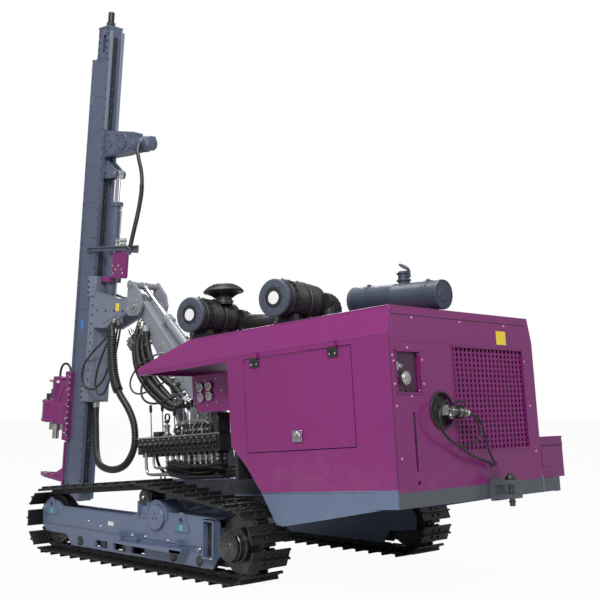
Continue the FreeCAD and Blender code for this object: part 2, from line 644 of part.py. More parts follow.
cover = cut("cover_shell", house_top("cover_outer", 0), house_top("cover_inner", d.wall))
HINGES = (d.door_front - 128, d.door_rear + 166)
hinge_lugs = []
for side, face in ((1, d.house_left), (-1, d.house_right)):
    for place, ahead in enumerate(HINGES):
        low = min(face, face + side * 2 * d.hinge_out)
        hinge_lugs.append(box(f"hinge_lug_{side + 1}{place}", (ahead - 40, low, d.cover_edge + d.seat_gap),
                              "80", "2 * Sizes.hinge_out", "34"))
node("hood", fuse("cover_with_lugs", cover, *hinge_lugs), HOUSE)

DOOR = rect(d.door_rear, d.door_bottom, d.door_front, d.cover_edge - d.panel_gap)


def side_panel(name, left):
    """The fixed side sheet: a front strip that steps back at its foot, a sill and a rear strip."""
    top = d.cover_edge
    outline = [
        (d.house_rear + d.wall, d.house_floor), (d.panel_front - 326, d.house_floor),
        (d.panel_front - 168, 833), (d.panel_front - 11, 986), (d.panel_front, top),
        (d.door_front + d.panel_gap, top), (d.door_front + d.panel_gap, d.door_bottom - d.panel_gap),
        (d.door_rear - d.panel_gap, d.door_bottom - d.panel_gap), (d.door_rear - d.panel_gap, top),
        (d.house_rear + d.wall, top),
    ]
    return prism(name, "side", (0, left, 0), "Sizes.wall", outline)

panels = [
    side_panel("panel_left", d.house_left),
    side_panel("panel_right", d.house_right + d.wall),
]
bulkhead = box("bulkhead", (d.panel_front - 45, d.house_right + d.wall, d.deck_top), "30",
               "Sizes.house_left - Sizes.house_right - 2 * Sizes.wall", "Sizes.cover_edge - Sizes.deck_top")
node("side_panels", group("panels_and_bulkhead", *panels, bulkhead), HOUSE)


def door(side):
    """A sheet with two hinge knuckles just outside its top edge and a latch plate."""
    tag = "left" if side > 0 else "right"
    face = d.house_left if side > 0 else d.house_right
    sheet_left = face if side > 0 else face + d.wall
    pieces = [prism(f"{tag}_door_sheet", "side", (0, sheet_left, 0), "Sizes.wall", DOOR)]
    for place, ahead in enumerate(HINGES):
        centre = face + side * d.hinge_out
        pieces.append(rod(f"{tag}_knuckle_{place}", (ahead - 45, centre, d.hinge_rise),
                          "Sizes.hinge_radius", "90", "x"))
        leaf_low = min(face, centre)
        pieces.append(box(f"{tag}_leaf_{place}", (ahead - 45, leaf_low, d.hinge_rise - 60), "90",
                          "Sizes.hinge_out", "60"))
    pieces.append(box(f"{tag}_latch", ((d.door_front + d.door_rear) / 2 - 45, min(face, face + side * 12),
                                       d.door_bottom + 60), "90", "12", "80"))
    return fuse(f"{tag}_door_leaf", *pieces)


node("left_door", door(1), HOUSE)
node("right_door", door(-1), HOUSE)

REAR = rect(d.house_right, d.beam_top, d.house_left, d.cover_edge)
GRILLE = rect(d.grille_right, d.grille_bottom, d.grille_left, d.grille_top - 25)
recess = rect(720, 1285, 985, 1570)
slot = rect(808, 745, 832, 1150)
rear_sheet = prism(
    "rear_sheet", "front", (d.house_rear, 0, 0), "Sizes.wall", REAR,
    holes=[GRILLE, recess, slot], rounds=[(500, 1158, d.port_radius), (812, 667, 16)],
)
pocket = box("recess_back", (d.house_rear + d.wall, 705, 1270), "12", "295", "315")
REAR_CABLE = [
    (-2862, 296, 1133), (-2879, 240, 1125.6), (-2897, 192, 1077), (-2908, 165, 960), (-2895, 110, 850),
    (-2862, 20, 785), (-2835, -70, 762), (-2798, -110, 758),
]
cable_gland = ferrule("cable_gland", REAR_CABLE[-1], REAR_CABLE[-2], "Sizes.cable_radius + 4", "40")
node("rear_panel", fuse("rear_sheet_with_recess", rear_sheet, pocket, cable_gland), HOUSE)


def grille_sheet():
    """A thin sheet with rows of upright holes, in the rear panel's opening."""
    columns, rows = int(d.grille_columns), int(d.grille_rows)
    gap = 1.0
    left, low = d.grille_right + gap, d.grille_bottom + gap
    right, high = d.grille_left - gap, d.grille_top - 25 - gap
    across = (right - left) / columns
    up = (high - low) / rows
    holes = []
    for column in range(columns):
        for row in range(rows):
            u = left + (column + 0.5) * across
            v = low + (row + 0.5) * up
            half_u, half_v = d.grille_hole_width / 2, d.grille_hole_height / 2
            holes.append(rect(u - half_u, v - half_v, u + half_u, v + half_v))
    spot = (d.house_rear + 10, 0, 0)
    return prism("grille_sheet", "front", spot, "8", rect(left, low, right, high), holes=holes)

radiator = box("radiator_core", (d.house_rear + d.wall + 60, d.grille_right - 20, d.deck_top),
               "160", "Sizes.grille_left - Sizes.grille_right + 40", "850")
port_disc = rod("port_disc", (d.house_rear + d.wall, 500, 1158), "Sizes.port_radius + 26", "8", "x")
node("rear_grille", group("grille_and_core", grille_sheet(), radiator, port_disc), HOUSE)
engine = box("engine_lump", (-2380, -430, d.deck_top),
             "Sizes.engine_length", "Sizes.engine_width", "Sizes.engine_height")
node("engine_block", engine, HOUSE)

# Chassis, beam, skirts, deck and boom pedestal.

chassis = box("chassis_box", (d.house_rear + d.beam_depth, -d.chassis_half, d.deck_bottom),
              "Sizes.chassis_front - Sizes.house_rear - Sizes.beam_depth",
              "2 * Sizes.chassis_half", "Sizes.deck_top - Sizes.deck_bottom")
deck = box("deck_side", (d.panel_front - 330, d.chassis_half, d.deck_top - 130),
           "Sizes.deck_front - Sizes.panel_front + 330", "90", "130")
EAR_INSIDE = d.boom_half_width + d.ear_gap
pedestal_profile = [
    (d.boom_foot_ahead - 230, d.deck_top), (d.boom_foot_ahead + 140, d.deck_top),
    (d.boom_foot_ahead + 110, d.boom_foot_rise - 40), (d.boom_foot_ahead + 70, d.boom_foot_rise + 75),
    (d.boom_foot_ahead - 60, d.boom_foot_rise + 75), (d.boom_foot_ahead - 120, d.boom_foot_rise - 40),
]
ears = [
    prism("pedestal_ear_left", "side", (0, EAR_INSIDE + d.ear_plate, 0), "Sizes.ear_plate",
          pedestal_profile),
    prism("pedestal_ear_right", "side", (0, -EAR_INSIDE, 0), "Sizes.ear_plate", pedestal_profile),
    box("pedestal_back", (d.boom_foot_ahead - 225, -EAR_INSIDE, d.deck_top), "30",
        "2 * (Sizes.boom_half_width + Sizes.ear_gap)", "360"),
]
LIFT_FOOT = Vector(d.lift_foot_ahead, 0, d.lift_foot_rise)
lug_profile = [
    (d.chassis_front - 190, d.deck_top), (d.chassis_front, d.deck_top),
    (d.lift_foot_ahead + 50, d.lift_foot_rise + 10), (d.lift_foot_ahead + 20, d.lift_foot_rise + 55),
    (d.lift_foot_ahead - 40, d.lift_foot_rise + 45),
]
LUG_INSIDE = d.lift_barrel_radius + d.ear_gap
lugs = [
    prism("lift_lug_left", "side", (0, LUG_INSIDE + 26, 0), "26", lug_profile),
    prism("lift_lug_right", "side", (0, -LUG_INSIDE, 0), "26", lug_profile),
]
lug_hole = rod("lift_lug_hole", (d.lift_foot_ahead, -200, d.lift_foot_rise),
               "Sizes.pin_radius", "400", "y")
foot_bore = rod("foot_bore", (d.boom_foot_ahead, -300, d.boom_foot_rise),
                "Sizes.pin_radius", "600", "y")
saddle = box("axle_saddle", (d.axle_ahead - 130, -d.chassis_half, d.axle_rise - 20), "260",
             "2 * Sizes.chassis_half", "Sizes.deck_bottom - Sizes.axle_rise + 40")
axle_bore = rod("axle_bore", (d.axle_ahead, -d.chassis_half - 50, d.axle_rise), "Sizes.axle_radius + 0.3",
                "2 * Sizes.chassis_half + 100", "y")
frame_body = cut("chassis_bored", fuse("chassis_all", chassis, saddle, deck, *ears, *lugs),
                 lug_hole, foot_bore, axle_bore)

pins = [
    rod("boom_foot_pin", (d.boom_foot_ahead, -EAR_INSIDE - d.ear_plate - 12, d.boom_foot_rise),
        "Sizes.pin_radius", "2 * (Sizes.boom_half_width + Sizes.ear_gap + Sizes.ear_plate + 12)", "y"),
    rod("lift_foot_pin", (d.lift_foot_ahead, -LUG_INSIDE - 26 - 12, d.lift_foot_rise),
        "Sizes.pin_radius", "2 * (Sizes.lift_barrel_radius + Sizes.ear_gap + 38)", "y"),
]
node("base_frame", fuse("chassis_with_pins", frame_body, *pins), HOUSE)

skirt_profile = [
    (d.house_rear + d.beam_depth, d.beam_top - d.beam_height), (d.panel_front - 1010, 440),
    (d.panel_front - 540, 385), (d.panel_front - 470, 395), (d.panel_front - 326, d.house_floor),
    (d.house_rear + d.beam_depth, d.house_floor),
]
skirts = [
    prism("skirt_left", "side", (0, d.house_left, 0), "16", skirt_profile),
    prism("skirt_right", "side", (0, d.house_right + 16, 0), "16", skirt_profile),
    box("skirt_web_left", (-2600, d.chassis_half, 560), "1000",
        "Sizes.house_left - Sizes.chassis_half - 16", "30"),
    box("skirt_web_right", (-2600, d.house_right + 16, 560), "1000",
        "-Sizes.house_right - Sizes.chassis_half - 16", "30"),
]
node("side_skirts", group("skirt_pair", *skirts), HOUSE)

beam = box("beam_bar", (d.house_rear, d.beam_right, d.beam_top - d.beam_height),
           "Sizes.beam_depth", "Sizes.house_left - Sizes.beam_right", "Sizes.beam_height")


# Tow hitch: a clevis on the rear beam.

HITCH_MIDDLE = d.beam_top - d.beam_height / 2 + 10
hitch_start = d.house_rear - d.hitch_reach
hitch_low = HITCH_MIDDLE - d.hitch_gap / 2 - d.hitch_plate
hitch = [
    box("hitch_upper", (hitch_start, d.hitch_left - 65, HITCH_MIDDLE + d.hitch_gap / 2),
        "Sizes.hitch_reach", "130", "Sizes.hitch_plate"),
    box("hitch_lower", (hitch_start, d.hitch_left - 65, hitch_low),
        "Sizes.hitch_reach", "130", "Sizes.hitch_plate"),
    box("hitch_back", (d.house_rear - 40, d.hitch_left - 75, hitch_low - 12), "40", "150",
        "Sizes.hitch_gap + 2 * Sizes.hitch_plate + 24"),
]
hitch_hole = rod("hitch_hole", (hitch_start + 50, d.hitch_left, hitch_low - 50),
                 "Sizes.hitch_bore", "Sizes.hitch_gap + 2 * Sizes.hitch_plate + 100", "z")
node("rear_beam", cut("hitch_bored", fuse("beam_with_hitch", beam, *hitch), hitch_hole), HOUSE)
tow_pin = fuse(
    "tow_pin_solid",
    rod("tow_pin_shank", (hitch_start + 50, d.hitch_left, HITCH_MIDDLE - 125), "Sizes.hitch_bore - 0.5",
        "240", "z"),
    rod("tow_pin_head", (hitch_start + 50, d.hitch_left, HITCH_MIDDLE + d.hitch_gap / 2 + d.hitch_plate),
        "34", "14", "z"),
)
node("tow_pin", tow_pin, HOUSE)

# Toolbox at the right rear corner.

BOX_FRONT = d.house_rear + 20
box_top = d.beam_top + d.box_height
box_wide = "Sizes.house_right - Sizes.box_right - 10"
tray = box("tray_outer", (BOX_FRONT, d.box_right, d.beam_top), "Sizes.box_length", box_wide,
           "Sizes.box_height - Sizes.box_lid - 1")
tray_inside = box("tray_inner", (BOX_FRONT + 4, d.box_right + 4, d.beam_top + 4),
                  "Sizes.box_length - 8", box_wide + " - 8", "Sizes.box_height")
node("toolbox", cut("tray", tray, tray_inside), HOUSE)
lid = box("lid_outer", (BOX_FRONT, d.box_right, box_top - d.box_lid), "Sizes.box_length", box_wide,
          "Sizes.box_lid")
lid_inside = box("lid_inner", (BOX_FRONT + 4, d.box_right + 4, box_top - d.box_lid - 1),
                 "Sizes.box_length - 8", box_wide + " - 8", "Sizes.box_lid - 3")
LID_PIN = (d.house_right - 16, box_top - 6)
knuckle = rod("lid_knuckle", (BOX_FRONT + 30, *LID_PIN), "8", "Sizes.box_length - 60", "x")
node("toolbox_lid", fuse("lid_with_knuckle", cut("lid_shell", lid, lid_inside), knuckle), HOUSE)

# Gauge panel and operator's console.

gauge_spots = [(-450, 1512), (-560, 1516), (-455, 1425), (-565, 1429)]
gauge_outline = [
    (d.panel_front + 40, 1285), (-400, 1300), (-335, 1400), (-330, d.cover_edge - d.wall - 1),
    (d.panel_front + 40, d.cover_edge - d.wall - 1),
]
gauge_sheet = prism("gauge_sheet", "side", (0, d.console_left + 40, 0), "12", gauge_outline)
gauge_bracket = box("gauge_bracket", (d.panel_front - 15, d.console_left - 20, 1330), "120", "60", "12")
gauges = [rod(f"gauge_{n}", (x, d.console_left + 40, z), "Sizes.gauge_radius", "16", "y")
          for n, (x, z) in enumerate(gauge_spots)]
node("gauge_panel", fuse("gauge_plate", gauge_sheet, gauge_bracket, *gauges), HOUSE)

console_back = d.console_front - d.console_length
console_right = d.console_left - d.console_depth
bank = box("bank_body", (console_back, console_right, d.console_bottom),
           "Sizes.console_length", "Sizes.console_depth", "Sizes.console_height")
legs = [box(f"bank_leg_{n}", (x, console_right + 20, d.deck_top), "50",
            "Sizes.console_depth - 40", "Sizes.console_bottom - Sizes.deck_top")
        for n, x in enumerate((-560, -160))]
node("valve_bank", fuse("bank_on_legs", bank, *legs), HOUSE)
LEVERS = [(410, 240), (240, 240), (70, 190), (-60, 250), (-120, 235), (-180, 250), (-240, 235),
          (-300, 250), (-360, 235), (-420, 250)]
console_top = d.console_bottom + d.console_height
levers = []
for n, (x, tall) in enumerate(LEVERS):
    spot = (x, d.console_left - 75, console_top)
    levers.append(rod(f"lever_{n}", spot, "Sizes.lever_radius", f"{tall}", "z"))
    spot = (x, d.console_left - 75, console_top + tall)
    levers.append(rod(f"grip_{n}", spot, "2 * Sizes.lever_radius", "70", "z"))
node("control_levers", fuse("lever_set", *levers), HOUSE)

# Air filters, intake and exhaust on the roof.

FILTER_TURN = Rotation(Vector(0, 0, 1), d.filter_turn)
inward = FILTER_TURN.multiply(Rotation(Vector(1, 0, 0), 90))
filters = []
for tag, ahead in (("front", d.filter_front), ("rear", d.filter_back)):
    can = rod(f"filter_can_{tag}", (ahead, d.filter_left, d.filter_rise), "Sizes.filter_radius",
              "Sizes.filter_length", turn=inward)
    saddle = box(f"filter_saddle_{tag}", (ahead - 20, d.filter_left - 340, d.cover_top),
                 "120", "160", "Sizes.filter_rise - Sizes.cover_top - 60")
    filters.append(fuse(f"filter_{tag}", can, saddle))

CAP_SPOT = (d.filter_front - 62, d.filter_left - 330)
neck_foot = d.filter_rise + d.filter_radius - 36
neck = rod("intake_neck", (*CAP_SPOT, neck_foot), "70", "100", "z")
neck_seat = rod("intake_neck_seat", (d.filter_front, d.filter_left, d.filter_rise),
                "Sizes.filter_radius + Sizes.seat_gap", "Sizes.filter_length", turn=inward)
brim = doc.addObject("Part::Cone", "intake_brim")
bind(brim, Radius1="Sizes.rain_cap_radius", Radius2="0.55 * Sizes.rain_cap_radius", Height="62")
brim.Placement = Placement(Vector(*CAP_SPOT, neck_foot + 100), Rotation())
node("rain_cap", cut("rain_cap_seated", fuse("rain_cap_body", neck, brim), neck_seat), HOUSE)

duct = [
    rod("duct_rear_elbow", (d.filter_back - 64, d.filter_left - 560, d.cover_top), "62",
        "Sizes.filter_rise - Sizes.cover_top", "z"),
    rod("duct_front_elbow", (d.filter_front - 64, d.filter_left - 560, d.cover_top), "62",
        "Sizes.filter_rise - Sizes.cover_top", "z"),
]
duct_front = Vector(d.filter_front - 64, d.filter_left - 560, d.filter_rise - 62)
duct_rear = Vector(d.filter_back + 60, d.filter_left - 560, d.cover_top + 85)
duct.append(rod("duct_link", duct_front, "62", f"{(duct_rear - duct_front).Length}",
                turn=Rotation(Vector(0, 0, 1), duct_rear - duct_front)))
node("air_filters", fuse("filters_and_ducts", *filters, *duct), HOUSE)

SILENCER = Rotation(Vector(0, 1, 0), 90 - d.muffler_tilt)
MUFFLER_END = Vector(d.muffler_rear, d.muffler_left, d.muffler_rise)


def on_muffler(share, above=0.0):
    """A point along the silencer's centre line, and above it."""
    turn = math.radians(d.muffler_tilt)
    run = share * d.muffler_length
    return MUFFLER_END + Vector(run * math.cos(turn), 0, run * math.sin(turn) + above)

drum = rod("silencer_drum", MUFFLER_END, "Sizes.muffler_radius", "Sizes.muffler_length", turn=SILENCER)
outlet = rod("silencer_outlet", on_muffler(0.42, d.muffler_radius - 14), "Sizes.outlet_radius", "110", "z")
flange = rod("outlet_flange", on_muffler(0.42, d.muffler_radius + 18), "Sizes.outlet_radius + 16", "12", "z")
feet = [
    box(f"silencer_foot_{n}", (on_muffler(share).x, d.muffler_left - 60, d.cover_top), "40", "120",
        f"{on_muffler(share).z - d.cover_top - 60}")
    for n, share in enumerate((0.12, 0.8))
]
outlet_top = on_muffler(0.42, d.muffler_radius - 14 + 110)
FLAP_PIN = outlet_top + Vector(-d.outlet_radius - 9, 0, 6)
flap_lug = box("flap_lug", (FLAP_PIN.x - 8, FLAP_PIN.y - 16, FLAP_PIN.z - 60), "18", "32",
               f"60 - 5 - {d.seat_gap}")
node("muffler", fuse("silencer", drum, outlet, flange, flap_lug, *feet), HOUSE)
flap_turn = Rotation(Vector(0, 1, 0), -d.flap_open)
flap = fuse(
    "flap_solid",
    rod("flap_plate", FLAP_PIN + flap_turn.multVec(Vector(d.outlet_radius + 9, 0, -2)),
        "Sizes.outlet_radius + 6", "5", turn=flap_turn),
    rod("flap_knuckle", FLAP_PIN + Vector(0, -16, 0), "5", "32", "y"),
)
node("rain_flap", flap, HOUSE)

# Boom and its cylinders.

BOOM_TURN = Rotation(Vector(0, 1, 0), -d.boom_angle)
BOOM = HOUSE.multiply(Placement(Vector(d.boom_foot_ahead, 0, d.boom_foot_rise), BOOM_TURN))
half_depth = d.boom_depth / 2
boom_profile = [
    (-62, -30), (-30, -62), (60, -half_depth - 20), (560, -half_depth - 25),
    (d.boom_length - 160, -half_depth + 25), (d.boom_length - 20, -70),
    (d.boom_length + 62, -30), (d.boom_length + 62, 35), (d.boom_length + 20, 68),
    (d.boom_length - 120, half_depth - 45), (500, half_depth), (140, half_depth), (-30, 64), (-62, 30),
]
boom_lift_lug = [
    (d.lift_eye_along - 150, -half_depth + 5), (d.lift_eye_along - 40, -d.lift_eye_below - 45),
    (d.lift_eye_along + 45, -d.lift_eye_below - 40), (d.lift_eye_along + 160, -half_depth + 15),
]
boom_tilt_lug = [
    (d.tilt_foot_along - 130, half_depth - 5), (d.tilt_foot_along - 50, d.tilt_foot_above + 40),
    (d.tilt_foot_along + 50, d.tilt_foot_above + 40), (d.tilt_foot_along + 130, half_depth - 5),
]
TILT_INSIDE = d.tilt_barrel_radius + d.ear_gap
EYE_INSIDE = d.lift_rod_radius + d.eye_margin + d.ear_gap
arm_pieces = [
    prism("boom_beam", "side", (0, d.boom_half_width, 0), "2 * Sizes.boom_half_width", boom_profile),
    prism("lift_ear_left", "side", (0, EYE_INSIDE + d.lift_ear_plate, 0), "Sizes.lift_ear_plate",
          boom_lift_lug),
    prism("lift_ear_right", "side", (0, -EYE_INSIDE, 0), "Sizes.lift_ear_plate", boom_lift_lug),
    prism("tilt_ear_left", "side", (0, TILT_INSIDE + d.lift_ear_plate, 0), "Sizes.lift_ear_plate",
          boom_tilt_lug),
    prism("tilt_ear_right", "side", (0, -TILT_INSIDE, 0), "Sizes.lift_ear_plate", boom_tilt_lug),
]
PIN_HOLE = "Sizes.pin_radius + Sizes.pin_clearance"
boom_holes = [
    rod("boom_foot_hole", (0, -200, 0), PIN_HOLE, "400", "y"),
    rod("boom_tip_hole", (d.boom_length, -200, 0), PIN_HOLE, "400", "y"),
    rod("boom_tilt_hole", (d.tilt_foot_along, -200, d.tilt_foot_above), "Sizes.eye_pin_radius", "400", "y"),
]
boom_arm = cut("boom_arm", fuse("boom_solid", *arm_pieces), *boom_holes)
STUB = "Sizes.lift_ear_plate + Sizes.pin_head"
boom_pins = [
    rod("lift_eye_stub_left", (d.lift_eye_along, EYE_INSIDE, -d.lift_eye_below), "Sizes.eye_pin_radius",
        STUB, "y"),
    rod("lift_eye_stub_right", (d.lift_eye_along, -EYE_INSIDE - d.lift_ear_plate - d.pin_head,
                                -d.lift_eye_below), "Sizes.eye_pin_radius", STUB, "y"),
    rod("tilt_foot_pin", (d.tilt_foot_along, -TILT_INSIDE - d.lift_ear_plate - d.pin_head,
                          d.tilt_foot_above), "Sizes.eye_pin_radius",
        "2 * (Sizes.tilt_barrel_radius + Sizes.ear_gap + Sizes.lift_ear_plate + Sizes.pin_head)", "y"),
]

# The boom's hose bundle hangs in a bow along its left side, between two ferrules on brackets.
BUNDLE = [
    (215, 132, -75), (390, 133, -95), (600, 138, -175), (820, 140, -205), (1000, 136, -150),
    (1130, 132, -70),
]
bundle_ends = [
    ferrule("bundle_ferrule_low", BUNDLE[0], BUNDLE[1], "Sizes.bundle_radius + 6", "60"),
    ferrule("bundle_ferrule_high", BUNDLE[-1], BUNDLE[-2], "Sizes.bundle_radius + 6", "60"),
    box("bundle_bracket_low", (165, d.boom_half_width - 5, -95), "30", "50", "45"),
    box("bundle_bracket_high", (1145, d.boom_half_width - 5, -75), "30", "50", "45"),
]
node("boom", fuse("boom_with_pins", boom_arm, *boom_pins, *bundle_ends), BOOM)


def aim(start, end):
    """A frame at one pin whose X runs to the other; both lie in one upright plane."""
    line = end - start
    turn = Rotation(Vector(0, 1, 0), -math.degrees(math.atan2(line.z, line.x)))
    return Placement(start, turn), line.Length


def cylinder(label, start, end, foot_pin):
    """A barrel that turns on its foot pin, and a rod that ends in a closed eye round its own pin."""
    frame, reach = aim(start, end)
    radius, long = f"Sizes.{label}_barrel_radius", f"Sizes.{label}_barrel_length"
    rod_size, rod_long = f"Sizes.{label}_rod_radius", f"Sizes.{label}_rod_length"
    barrel_radius = getattr(d, f"{label}_barrel_radius")
    eye_half = getattr(d, f"{label}_rod_radius") + d.eye_margin
    tube = fuse(
        f"{label}_tube",
        rod(f"{label}_tube_body", (BARREL_START, 0, 0), radius, f"{long} - {BARREL_START}", "x"),
        rod(f"{label}_tube_eye", (0, -barrel_radius, 0), radius, f"2 * {radius}", "y"),
    )
    hollow = rod(f"{label}_hollow", (2 * BARREL_START, 0, 0), f"{rod_size} + Sizes.pin_clearance", long, "x")
    pin_hole = rod(f"{label}_foot_hole", (0, -2 * barrel_radius, 0), f"{foot_pin} + Sizes.pin_clearance",
                   f"4 * {radius}", "y")
    node(f"{label}_barrel", cut(f"{label}_barrel_bored", tube, hollow, pin_hole), frame)
    rod_start = reach - getattr(d, f"{label}_rod_length")
    stem = fuse(
        f"{label}_stem",
        rod(f"{label}_stem_body", (rod_start, 0, 0), rod_size, f"{rod_long} - 0.8 * Sizes.eye_radius", "x"),
        rod(f"{label}_stem_eye", (reach, -eye_half, 0), "Sizes.eye_radius",
            f"2 * ({rod_size} + Sizes.eye_margin)", "y"),
    )
    node(f"{label}_rod", stem, frame)

BARREL_START = 48
lift_foot = HOUSE.multVec(LIFT_FOOT)
lift_eye = HOUSE.multVec(along_boom(d.lift_eye_along, -d.lift_eye_below))
cylinder("lift", lift_foot, lift_eye, "Sizes.pin_radius")
tilt_foot = HOUSE.multVec(along_boom(d.tilt_foot_along, d.tilt_foot_above))
tilt_eye = MAST.multVec(Vector(-d.tilt_eye_back, 0, TILT_EYE_RISE))
cylinder("tilt", tilt_foot, tilt_eye, "Sizes.eye_pin_radius")

# Boom head: two crescent plates, a hub on the boom's tip, a cross tube and the swing disc.

back = -d.mast_setback
crescent = [
    (back - 95, d.mast_pin_rise - 60), (back + 20, d.mast_pin_rise - 95),
    (-d.swing_plane - 40, d.mast_pin_rise - 90), (-d.swing_plane - 8, d.mast_pin_rise - 40),
    (-d.swing_plane - 8, SWING_RISE + 60), (-d.tilt_eye_back + 34, TILT_EYE_RISE - 20),
    (-d.tilt_eye_back + 25, TILT_EYE_RISE + 32), (-d.tilt_eye_back - 30, TILT_EYE_RISE + 34),
    (back - 75, d.mast_pin_rise + 150), (back - 118, d.mast_pin_rise + 30),
]
plate_left = d.head_plate_offset + 15
head_span = "2 * (Sizes.head_plate_offset - 15)"
spacer = f"Sizes.head_plate_offset - 15 - Sizes.boom_half_width - Sizes.ear_gap / 2"
spacer_start = d.boom_half_width + d.ear_gap / 2
head_parts = [
    prism("crescent_left", "side", (0, plate_left, 0), "30", crescent),
    prism("crescent_right", "side", (0, -plate_left + 30, 0), "30", crescent),
    rod("head_boss_left", (back, spacer_start, d.mast_pin_rise), "62", spacer, "y"),
    rod("head_boss_right", (back, -plate_left + 30, d.mast_pin_rise), "62", spacer, "y"),
    rod("head_disc", (-d.swing_plane - d.swing_disc_thick - 0.3, 0, SWING_RISE),
        "Sizes.swing_disc_radius", "Sizes.swing_disc_thick", "x"),
    box("head_web", (-d.swing_plane - 46, -plate_left + 30, SWING_RISE - 80), "20", head_span, "160"),
    rod("swing_pin", (-d.swing_plane - 30, 0, SWING_RISE), "Sizes.pin_radius", "95", "x"),
]
tilt_cheeks = d.tilt_rod_radius + d.eye_margin + d.ear_gap / 2
for tag, start in (("left", tilt_cheeks), ("right", -plate_left + 30)):
    head_parts.append(
        rod(f"cross_tube_{tag}", (-d.tilt_eye_back, start, TILT_EYE_RISE), "36",
            f"{plate_left - 30 - tilt_cheeks}", "y"))
head_bore = rod("head_bore", (back, -200, d.mast_pin_rise), "Sizes.pin_radius", "400", "y")
head_body = cut("head_bored", fuse("head_solid", *head_parts), head_bore)
head_pins = [
    rod("head_pin", (back, -plate_left - d.pin_head, d.mast_pin_rise), "Sizes.pin_radius",
        f"{2 * (plate_left + d.pin_head)}", "y"),
    rod("tilt_eye_stub_left", (-d.tilt_eye_back, plate_left - 1, TILT_EYE_RISE), "Sizes.eye_pin_radius",
        "Sizes.pin_head + 1", "y"),
    rod("tilt_eye_stub_right", (-d.tilt_eye_back, -plate_left - d.pin_head, TILT_EYE_RISE),
        "Sizes.eye_pin_radius", "Sizes.pin_head + 1", "y"),
]
node("boom_head", fuse("head_with_pins", head_body, *head_pins), MAST)

# Cradle: swings on the boom head and guides the mast's rear rails.

cradle_back = -d.rail_depth - d.slide_gap - d.cradle_depth
cradle_face = -d.rail_depth - d.slide_gap
channel = box("cradle_channel", (cradle_back, -d.cradle_half_width, CRADLE_BOTTOM),
              "Sizes.cradle_depth", "2 * Sizes.cradle_half_width",
              CRADLE_LONG)
chain_slot = box("cradle_slot", (cradle_back + 20, -d.cradle_half_width + 20, CRADLE_BOTTOM - 20),
                 "Sizes.cradle_depth", "2 * Sizes.cradle_half_width - 40",
                 CRADLE_LONG + " + 40")
ear_profile = [
    (-d.swing_plane + 2 + d.swing_disc_thick, SWING_RISE - 60),
    (-594, SWING_RISE - 155), (-330, SWING_RISE - 270), (cradle_back + 10, SWING_RISE - 270),
    (cradle_back + 10, SWING_RISE + 130), (-330, SWING_RISE + 90), (-594, SWING_RISE + 50),
    (-d.swing_plane + 2 + d.swing_disc_thick, SWING_RISE + 75),
]
ear_outer = d.cradle_half_width
hook_in = d.rail_half_width + d.slide_gap
hooks = []
for tag, low in (("low", CRADLE_BOTTOM), ("high", CRADLE_TOP - 220)):
    for side in (1, -1):
        edge = side * d.cradle_half_width
        profile = [
            (edge, cradle_face - 2), (edge, d.slide_gap + 26),
            (side * (d.mast_half_width + d.slide_gap), d.slide_gap + 26),
            (side * (d.mast_half_width + d.slide_gap), d.slide_gap),
            (side * hook_in, d.slide_gap), (side * hook_in, cradle_face - 2),
        ]
        flat = [(v, u) for u, v in profile]
        hooks.append(prism(f"hook_{tag}{side + 1}", "plan", (0, 0, low), "220", flat))
cradle_solid = fuse(
    "cradle_solid", cut("cradle_trough", channel, chain_slot),
    prism("cradle_ear_left", "side", (0, ear_outer, 0), "30", ear_profile),
    prism("cradle_ear_right", "side", (0, -ear_outer + 30, 0), "30", ear_profile),
    rod("cradle_disc", (-d.swing_plane, 0, SWING_RISE), "Sizes.swing_disc_radius",
        "Sizes.swing_disc_thick", "x"),
    box("cradle_web", (-d.swing_plane + 4, -ear_outer + 30, SWING_RISE - 60), "40",
        "2 * Sizes.cradle_half_width - 60", "130"),
    *hooks,
)
swing_bore = rod("swing_bore", (-d.swing_plane - 10, 0, SWING_RISE),
                 "Sizes.pin_radius + Sizes.pin_clearance", "120", "x")
node("cradle", cut("cradle_bored", cradle_solid, swing_bore), MAST)

shift_tube = rod("shift_tube", (-d.shift_setback, 0, SHIFT_BOTTOM), "Sizes.shift_barrel_radius",
                 "Sizes.shift_barrel_length", "z")
shift_hollow = rod("shift_hollow", (-d.shift_setback, 0, SHIFT_BOTTOM + 60),
                   "Sizes.shift_rod_radius + 0.5", "Sizes.shift_barrel_length", "z")
shift_clamps = [
    box(f"shift_clamp_{n}", (-d.shift_setback - 70, -70, low), f"{d.shift_setback + cradle_back + 70}",
        "140", "60")
    for n, low in enumerate((SHIFT_BOTTOM + 40, CRADLE_TOP - 60))
]
shift_cut = rod("shift_clamp_hole", (-d.shift_setback, 0, SHIFT_BOTTOM - 20),
                "Sizes.shift_barrel_radius - 10", "Sizes.shift_barrel_length", "z")
barrel = fuse("shift_barrel_solid", shift_tube, cut("shift_clamps", fuse("clamp_pair", *shift_clamps),
              shift_cut))
node("shift_barrel", cut("shift_barrel_hollow", barrel, shift_hollow), MAST)

# Mast: a box beam with guide rails front and rear, a narrower head, a chain and the feed gear.

